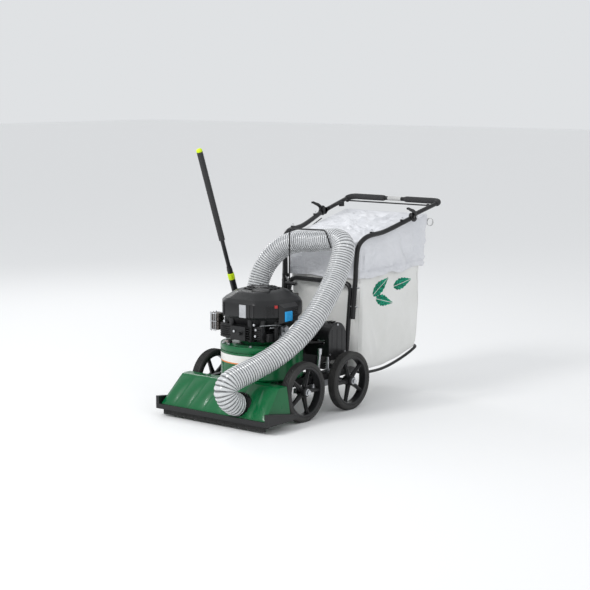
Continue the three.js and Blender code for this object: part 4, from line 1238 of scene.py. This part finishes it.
def make_housing():
    """The round housing and its deck with rolled edges, a flange bead and the riveted seam."""
    wall = [(0.2100, 0.2002), (0.2122, 0.2040), (0.2122, 0.2120), (0.2106, 0.2150), (0.2106, 0.3260),
            (0.2122, 0.3290), (0.2122, 0.3380), (0.2060, 0.3398), (0.2060, 0.2002)]
    Solid().turned(wall, HOUSING_MIDDLE, (0, 0, 1), 96).piece("housing_wall", "green_paint", "frame", (),
                                                              40.0)
    deck = [(0.0900, 0.3723), (0.1150, 0.3735), (0.1170, 0.3880), (0.1120, 0.3902), (0.0900, 0.3902)]
    step = [(0.1200, 0.3722), (0.2040, 0.3722), (0.2126, 0.3690), (0.2136, 0.3640), (0.2136, 0.3440),
            (0.2118, 0.3404), (0.2121, 0.3600), (0.2080, 0.3720), (0.1200, 0.3720)]
    rim = Solid().turned(step, HOUSING_MIDDLE, (0, 0, 1), 96)
    rim.turned(deck, HOUSING_MIDDLE, (0, 0, 1), 64)
    rim.piece("deck_rim", "green_paint", "frame", (), 40.0)
    bolts = Solid()
    for i in range(8):
        angle = math.radians(22.5 + 45 * i)
        foot = HOUSING_MIDDLE + Vector((0.190 * math.cos(angle), 0.190 * math.sin(angle), 0.3725))
        bolts.rod(foot, foot + Vector((0, 0, 0.0012)), 0.010, 16)
        bolts.rod(foot + Vector((0, 0, 0.001)), foot + Vector((0, 0, 0.0068)), 0.0062, 6)
    bolts.piece("deck_bolts", "steel", "frame", (), 30.0)


def make_housing_label():
    """A generic paper band round the front of the housing."""
    solid = Solid()
    low, high = LABEL_Z
    rings = []
    for i in range(49):
        angle = math.radians(-152 + 100 * i / 48)
        out = Vector((math.cos(angle), math.sin(angle), 0))
        rings.append([HOUSING_MIDDLE + out * r + Vector((0, 0, z))
                      for r, z in ((0.2108, low), (0.2113, low), (0.2113, high), (0.2108, high))])
    solid.loft(rings)
    solid.piece("housing_label", "label_print", "frame", (), 40.0)


# ------------------------------------------------------------------ engine
SHAFT = Vector((0.0, -0.394, 0.0))
SHROUD_LOW = 512


def shroud_outline(scale, rounding, count=64):
    """The shroud's plan as a rounded octagon, in metres about the shaft."""
    plan = [(188, -95), (188, 95), (105, 185), (-105, 185), (-188, 95), (-188, -95), (-105, -185),
            (105, -185)]
    line = []
    for i, corner in enumerate(plan):
        c = Vector((*corner, 0)) * scale
        before = Vector((*plan[i - 1], 0)) * scale
        after = Vector((*plan[(i + 1) % 8], 0)) * scale
        a = c + (before - c).normalized() * rounding
        b = c + (after - c).normalized() * rounding
        for k in range(7):
            t = k / 6
            line.append(a * (1 - t) ** 2 + c * 2 * t * (1 - t) + b * t ** 2)
    return [p * MM for p in line]


def make_shroud():
    """The blower shroud: rounded facets, a shoulder step and grooves above it."""
    levels = [(SHROUD_LOW + 1, 0.952, 14), (SHROUD_LOW + 5, 0.962, 14), (SHROUD_LOW + 12, 1.0, 14),
              (585, 1.0, 14),
              (590, 0.992, 15), (593, 0.985, 18), (602, 0.93, 22), (606, 0.915, 22), (609, 0.895, 24),
              (632, 0.715, 26), (637, 0.68, 26), (642, 0.63, 26), (646.5, 0.56, 26), (647.6, 0.50, 26),
              (647.6, 0.46, 20)]
    rings = []
    for z, scale, rounding in levels:
        rings.append([SHAFT + p + Vector((0, 0, z * MM)) for p in shroud_outline(scale, rounding)])
    for z, scale, rounding in ((640, 0.45, 20), (600, 0.80, 20), (SHROUD_LOW + 2, 0.93, 14)):
        rings.append([SHAFT + p + Vector((0, 0, z * MM)) for p in shroud_outline(scale, rounding)])
    solid = Solid().loft(rings, caps=False)
    count = len(rings[0])
    last = (len(rings) - 1) * count
    for j in range(count):
        k = (j + 1) % count
        solid.faces.append((last + j, last + k, k, j))
    shroud = solid.piece("shroud_shell", "black_plastic", "frame", ["engine_shroud"], 32.0)
    soften(shroud, 0.0015)


FACETS = [((-105, -185), (105, -185)), ((105, -185), (188, -95)), ((188, 95), (105, 185)),
          ((-188, -95), (-105, -185))]


STRIP_TAPER = 0.82


def facet_strip(solid, facet, share, width, low, high, proud):
    """A raised strip on one facet, its middle at a share of the facet's width."""
    a, b = (Vector((x * MM, y * MM, 0)) for x, y in facet)
    along = (b - a).normalized()
    out = Vector((along.y, -along.x, 0))
    middle = SHAFT + a.lerp(b, share) - out * 0.0005
    half = along * width * MM / 2
    corners = []
    for z in (low * MM, high * MM):
        for s in (-1, 1):
            corners.append(middle + half * s + Vector((0, 0, z)))
            corners.append(middle + half * s * STRIP_TAPER + out * proud * MM + Vector((0, 0, z)))
    solid.hull(corners)


def make_shroud_trim():
    ribs = Solid()
    facet_strip(ribs, FACETS[1], 0.47, 7.0, 520, 588, 4.0)
    for i in range(5):
        facet_strip(ribs, FACETS[1], 0.56 + 0.07 * i, 5.0, 528, 584, 3.2)
    for i in range(11):
        facet_strip(ribs, FACETS[2], 0.15 + 0.07 * i, 5.0, 528, 584, 2.2)
    facet_strip(ribs, FACETS[0], 0.965, 10.0, 524, 589, 3.5)
    facet_strip(ribs, FACETS[0], 0.035, 10.0, 524, 589, 3.5)
    facet_strip(ribs, FACETS[0], 0.84, 8.0, 520, 588, 3.0)
    for i in range(16):
        angle = 2 * math.pi * (i + 0.5) / 16
        out = Vector((math.cos(angle), math.sin(angle), 0))
        side = Vector((-out.y, out.x, 0))
        corners = []
        for r, z in ((0.088, 0.6478), (0.112, 0.6400), (0.142, 0.6130)):
            for s in (-1, 1):
                corners += [SHAFT + out * r + side * 0.004 * s + Vector((0, 0, z + dz)) for dz in (-0.012,
                                                                                                   0.0035)]
        ribs.hull(corners)
    ribs.hull([(x, y, z) for x, y, z in ((0.02, -0.500, 0.640), (0.115, -0.470, 0.636),
                                         (0.030, -0.455, 0.6475),
                                         (0.100, -0.440, 0.6475), (0.02, -0.500, 0.652),
                                         (0.105, -0.470, 0.650),
                                         (0.030, -0.460, 0.658), (0.092, -0.448, 0.657))])
    made = ribs.piece("shroud_ribs", "black_plastic", "frame", (), 30.0)
    soften(made, 0.0012)
    strip = Solid()
    facet_strip(strip, FACETS[0], 0.63, 46.0, 520, 585, 3.0)
    strip.piece("shroud_plate", "steel", "frame", (), 30.0)
    caution = Solid()
    facet_strip(caution, FACETS[1], 0.90, 18.0, 572, 586, 3.6)
    caution.piece("side_tag_red", "red_tag", "frame", (), 30.0)


def make_starter_cover():
    """The recoil lid: a domed disc with a rim, a raised hub and swept louvres."""
    foot = 0.6484
    profile = [(0.0005, foot), (0.0835, foot), (0.0838, foot + 0.0035), (0.0815, foot + 0.0062),
               (0.0780, foot + 0.0066),
               (0.0765, foot + 0.0052), (0.0420, foot + 0.0060), (0.0400, foot + 0.0098),
               (0.0340, foot + 0.0112),
               (0.0200, foot + 0.0112), (0.0180, foot + 0.0095), (0.0005, foot + 0.0095)]
    solid = Solid().turned(profile, SHAFT, (0, 0, 1), 64)
    for i in range(20):
        angle = 2 * math.pi * i / 20
        corners = []
        for r, swing, half in ((0.043, 0.0, 0.0022), (0.0755, 0.22, 0.0028)):
            out = Vector((math.cos(angle + swing), math.sin(angle + swing), 0))
            side = Vector((-out.y, out.x, 0))
            for s in (-1, 1):
                for z in (foot + 0.004, foot + 0.0094):
                    corners.append(SHAFT + out * r + side * half * s + Vector((0, 0, z)))
        solid.hull(corners)
    solid.piece("recoil_lid", "black_plastic", "frame", ["starter_cover"], 30.0)


def make_air_filter():
    """The filter cover's raised panel, hinge hooks and the blue latch with its finger grip."""
    panel = Solid()
    x = 0.2145
    panel.hull([(0.1886, y, z) for y in (-0.486, -0.354) for z in (0.514, 0.588)]
               + [(x - 0.002, y, z) for y in (-0.473, -0.367) for z in (0.521, 0.572)])
    for z in (0.530, 0.541, 0.552, 0.563):
        panel.box((x - 0.003, -0.408, z - 0.002), (x + 0.0015, -0.372, z + 0.002))
    cover = panel.piece("filter_panel", "black_plastic", "frame", (), 30.0)
    soften(cover, 0.0015)
    latch = Solid()
    latch.hull([(0.2148, y, z) for y in (-0.471, -0.415) for z in (0.503, 0.555)]
               + [(0.2218, y, z) for y in (-0.467, -0.419) for z in (0.507, 0.551)])
    for i in range(4):
        z = 0.513 + 0.0085 * i
        latch.box((0.2212, -0.458, z), (0.2226, -0.428, z + 0.0035))
    made = latch.piece("latch_grip", "blue_plastic", "filter_latch", ["filter_latch"], 30.0)
    soften(made, 0.0015)


def make_engine_base():
    """Bosses, brackets, the governor's linkage and bolts round the dark engine base."""
    dark = Solid()
    for x, y in ((-0.118, -0.528), (-0.060, -0.556), (0.060, -0.556), (0.118, -0.528), (0.155, -0.470),
                 (-0.155, -0.470)):
        dark.rod((x, y, 0.396), (x, y, 0.470), 0.011, 16)
        dark.rod((x, y, 0.470), (x, y, 0.511), 0.0145, 16)
    dark.box((-0.150, -0.545, 0.404), (-0.066, -0.530, 0.474))
    dark.box((0.066, -0.548, 0.410), (0.128, -0.520, 0.476))
    dark.box((0.118, -0.520, 0.398), (0.150, -0.444, 0.440))
    dark.box((-0.150, -0.530, 0.398), (-0.122, -0.486, 0.440))
    for i in range(6):
        z = 0.412 + 0.0105 * i
        dark.box((-0.146, -0.553, z), (-0.070, -0.530, z + 0.0035))
        dark.box((0.070, -0.556, z), (0.124, -0.530, z + 0.0035))
    for i in range(7):
        angle = math.radians(-150 + 20 * i)
        out = Vector((math.cos(angle), math.sin(angle), 0))
        dark.rod(SHAFT + out * 0.128 + Vector((0, 0, 0.3905)), SHAFT + out * 0.128 + Vector((0, 0, 0.404)),
                 0.013, 14)
    made = dark.piece("engine_brackets", "black_casting", "frame", (), 30.0)
    soften(made, 0.0012)
    bright = Solid()
    for x, y, z in ((-0.020, -0.5865, 0.448), (0.088, -0.5575, 0.486), (0.096, -0.5575, 0.430),
                    (-0.118, -0.5475, 0.486), (0.100, -0.5575, 0.462)):
        bright.rod((x, y, z), (x, y - 0.006, z), 0.0068, 6)
    for i in range(7):
        angle = math.radians(-150 + 20 * i)
        out = Vector((math.cos(angle), math.sin(angle), 0))
        bright.rod(SHAFT + out * 0.128 + Vector((0, 0, 0.404)), SHAFT + out * 0.128 + Vector((0, 0, 0.411)),
                   0.0065, 6)
    rod = smooth_route([(118, -552, 482), (128, -541, 483), (150, -520, 485), (168, -480, 484),
                        (172, -452, 480)], 8)
    bright.loft(rings_along(rod, lambda i, a: 0.0022, 8))
    spring = []
    for i in range(120):
        angle = 2 * math.pi * i / 10
        spring.append(Vector((0.150 + 0.0035 * math.cos(angle), -0.512 + 0.00045 * i,
                              0.470 + 0.0035 * math.sin(angle))))
    bright.loft(rings_along(spring, lambda i, a: 0.0008, 6))
    bright.piece("engine_fasteners", "steel", "frame", (), 30.0)


def make_muffler():
    """The muffler's ribbed can behind a guard of round wires."""
    x, y = -0.225, -0.481
    can = Solid()
    for i in range(4):
        z = 0.4225 + 0.0225 * i
        can.hull([(x + dx, y + dy, z + dz) for dx in (-0.0255, 0.0255) for dy in (-0.0215, 0.0215)
                  for dz in (0.002, 0.0195)] + [(x + dx, y + dy, z + dz) for dx in (-0.021, 0.021)
                  for dy in (-0.0255, 0.0255) for dz in (0.002, 0.0195)])
    can.box((x - 0.022, y - 0.022, 0.424), (x + 0.022, y + 0.022, 0.5105))
    can.box((x + 0.024, -0.476, 0.437), (-0.108, -0.460, 0.457))
    made = can.piece("muffler_can", "burnt_steel", "frame", ["muffler"], 30.0)
    soften(made, 0.0015)
    guard = Solid()
    for z in (0.4265, 0.4685, 0.5085):
        loop = bent_route([(-208, -450.5, z / MM), (-255.5, -450.5, z / MM), (-255.5, -511.5, z / MM),
                           (-208, -511.5, z / MM)], 8)
        guard.loft(rings_along(loop, lambda i, a: 0.0024, 10))
    for dy in (-0.022, 0.0, 0.022):
        guard.rod((x - 0.0305, y + dy, 0.4185), (x - 0.0305, y + dy, 0.5155), 0.0022, 10)
    for dx in (-0.017, 0.0, 0.012):
        guard.rod((x + dx, y - 0.0305, 0.4185), (x + dx, y - 0.0305, 0.5155), 0.0022, 10)
    guard.piece("muffler_cage", "steel", "frame", ["muffler_guard"], 40.0)


def make_engine():
    make_shroud()
    make_shroud_trim()
    make_starter_cover()
    make_air_filter()
    make_engine_base()
    make_muffler()


# ------------------------------------------------------------------ pole and hose tool
POLE_FOOT = Vector((-0.300, -0.185, 0.390))
POLE_AXIS = Vector((0, -0.3415, 0.94)).normalized()


def pole_part(name, profile, finish, body, node, segments=32):
    outline = [(r * MM, s * MM) for r, s in profile]
    return Solid().turned(outline, POLE_FOOT, POLE_AXIS, segments).piece(name, finish, body, [node], 35.0)


def make_recoil_rope():
    """The starter grip's guide on the shroud, and the rope that is pulled out of it with the grip."""
    low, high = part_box("starter_grip")
    top = Vector(((low[0] + high[0]) / 2, (low[1] + high[1]) / 2, low[2] + 0.004))
    shroud = BVHTree.FromObject(bpy.data.objects["shroud_shell"], bpy.context.evaluated_depsgraph_get())
    foot = shroud.ray_cast(top, -UP)[0]
    guide = Solid().turned([(0.0004, -0.006), (0.011, -0.006), (0.009, 0.007), (0.0045, 0.009),
                            (0.0004, 0.009)],
                           foot, UP, 24)
    guide.piece("rope_guide", "black_plastic", "frame", (), 40.0)
    inside = foot + UP * 0.004
    stations = [inside.lerp(top, i / 24) for i in range(25)]
    rope = Solid().loft(rings_along(stations, lambda i, angle: 0.0018, 12))
    piece = rope.piece("recoil_rope", "black_plastic", None, (), 60.0)
    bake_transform(piece)


def make_pole():
    grip = [(11.6, 512.2), (14.5, 512.2), (16.0, 516)]
    for i in range(31):
        s = 520 + 15.9 * i
        grip += [(16.0, s), (15.2, s + 2.2), (15.2, s + 4.0), (16.0, s + 6.2)]
    grip += [(16.0, 1008), (15.0, 1009.8), (11.6, 1009.8)]
    pole_part("pole_sleeve", grip, "foam", "pole_slider", "pole_grip")
    pole_part("pole_tube", [(0.2, 150.2), (10.9, 150.2), (10.9, 1009.8), (0.2, 1009.8)], "black_paint",
              "pole_slider",
              "pole_shaft")
    pole_part("pole_end", [(0.2, 1010.5), (15.9, 1010.5), (15.9, 1018), (14.6, 1022), (11.0, 1025.5),
                           (5.0, 1027.6),
                           (0.2, 1027.9)], "lime_plastic", "pole_slider", "pole_cap")
    collar = [(13.1, 286.5), (16.6, 286.5)]
    for i in range(8):
        s = 288.5 + 4.1 * i
        collar += [(17.9, s), (17.9, s + 2.4), (17.0, s + 3.0), (17.0, s + 3.8)]
    collar += [(16.6, 321.7), (13.1, 321.7)]
    pole_part("pole_nut", collar, "lime_plastic", "pole_collar", "pole_collar")
    pole_part("pole_neck", [(12.1, 322.5), (15.0, 322.5), (15.0, 344), (13.6, 350), (13.6, 359.7),
                            (12.1, 359.7)],
              "black_plastic", "frame", "pole_clamp")


def make_tool_beads():
    """Moulded rings on the hose tool, just proud of it."""
    centre = Vector((-0.283, -0.108, 0.0))
    solid = Solid()
    for z in (0.380, 0.388, 0.430, 0.478, 0.485):
        solid.turned([(0.0555, z - 0.0022), (0.0578, z - 0.0012), (0.0578, z + 0.0012),
                      (0.0555, z + 0.0022)], centre,
                     (0, 0, 1), 48)
    solid.piece("tool_beads", "black_plastic", "frame", (), 40.0)


# ------------------------------------------------------------------ drive cover and small fittings
def make_cover_trim():
    """Ribs, lugs and screws on the drive cover."""
    solid = Solid()
    middle = Vector((0, -0.0825, 0.3825))
    for x in (0.106, 0.244):
        rings = []
        for i in range(25):
            angle = math.pi * i / 24
            out = Vector((0, math.cos(angle), math.sin(angle)))
            rings.append([middle + out * r + Vector((x + dx, 0, 0))
                          for dx, r in ((-0.005, 0.0723), (-0.004, 0.0750), (0.004, 0.0750),
                                        (0.005, 0.0723))])
        solid.loft(rings)
    for y in (-0.125, -0.0825, -0.040):
        solid.hull([(x, y + dy, z) for x, w in ((0.2498, 0.005), (0.2518, 0.003)) for dy in (-w, w)
                    for z in (0.300, 0.425)])
    solid.box((0.130, -0.099, 0.4545), (0.142, -0.070, 0.461))
    solid.box((0.216, -0.099, 0.4545), (0.228, -0.070, 0.461))
    solid.piece("cover_ribs", "black_plastic", "frame", (), 30.0)
    screws = Solid()
    for y, z in ((-0.145, 0.296), (-0.020, 0.296), (-0.0825, 0.446)):
        screws.rod((0.2498, y, z), (0.2535, y, z), 0.0058, 6)
    screws.piece("cover_screws", "steel", "frame", (), 30.0)


def make_fittings():
    """Hooks, rings, a bolt end and clips on the handle's tubes, and the knobs on the deck's step."""
    bright = Solid()
    dark = Solid()
    for side in (-1, 1):
        for x, y, z in ((0.2445, 0.093, 0.800), (0.268, 0.190, 0.893), (0.297, 0.425, 0.943)):
            foot = Vector((side * x, y, z))
            ring = []
            for i in range(33):
                angle = 2 * math.pi * i / 32
                ring.append(foot + Vector((0, 0.0075 * math.cos(angle), 0.0205 + 0.0075 * math.sin(angle))))
            bright.loft(rings_along(ring, lambda i, a: 0.0012, 8))
            dark.box((foot.x - 0.008, foot.y - 0.009, foot.z + 0.009),
                     (foot.x + 0.008, foot.y + 0.009, foot.z + 0.0165))
        bright.rod((side * 0.199, 0.0875, 0.640 - 0.02), (side * 0.262, 0.0895, 0.640 - 0.02), 0.0045, 12)
        bright.rod((side * 0.200, 0.0755, 0.520), (side * 0.262, 0.0765, 0.520), 0.0045, 12)
    bright.rod((-0.118, -0.556, 0.3722), (-0.118, -0.556, 0.380), 0.0085, 6)
    dark.rod((-0.092, -0.538, 0.3722), (-0.092, -0.538, 0.394), 0.0105, 18)
    bright.piece("handle_fasteners", "steel", "frame", (), 35.0)
    dark.piece("handle_clips", "black_plastic", "frame", (), 35.0)
    label = Solid()
    label.hull([(x, y, z) for x, y in ((-0.165, -0.500), (-0.112, -0.535), (-0.088, -0.508),
                                       (-0.148, -0.470))
                for z in (0.3722, 0.3729)])
    label.piece("deck_tag", "rose_tag", "frame", (), 30.0)


# ------------------------------------------------------------------ start of the build
place_camera()
FINISHES = make_materials()
make_hose()
light_studio()
set_colours()
lay_floor()
dress_frame()
make_wheels()
make_tubes()
make_wires()
make_hood()
make_port_ring()
make_rubber_flap()
make_cam_levers()
make_bag()
make_grips()
make_housing()
make_housing_label()
make_engine()
make_recoil_rope()
make_pole()
make_tool_beads()
make_cover_trim()
make_fittings()
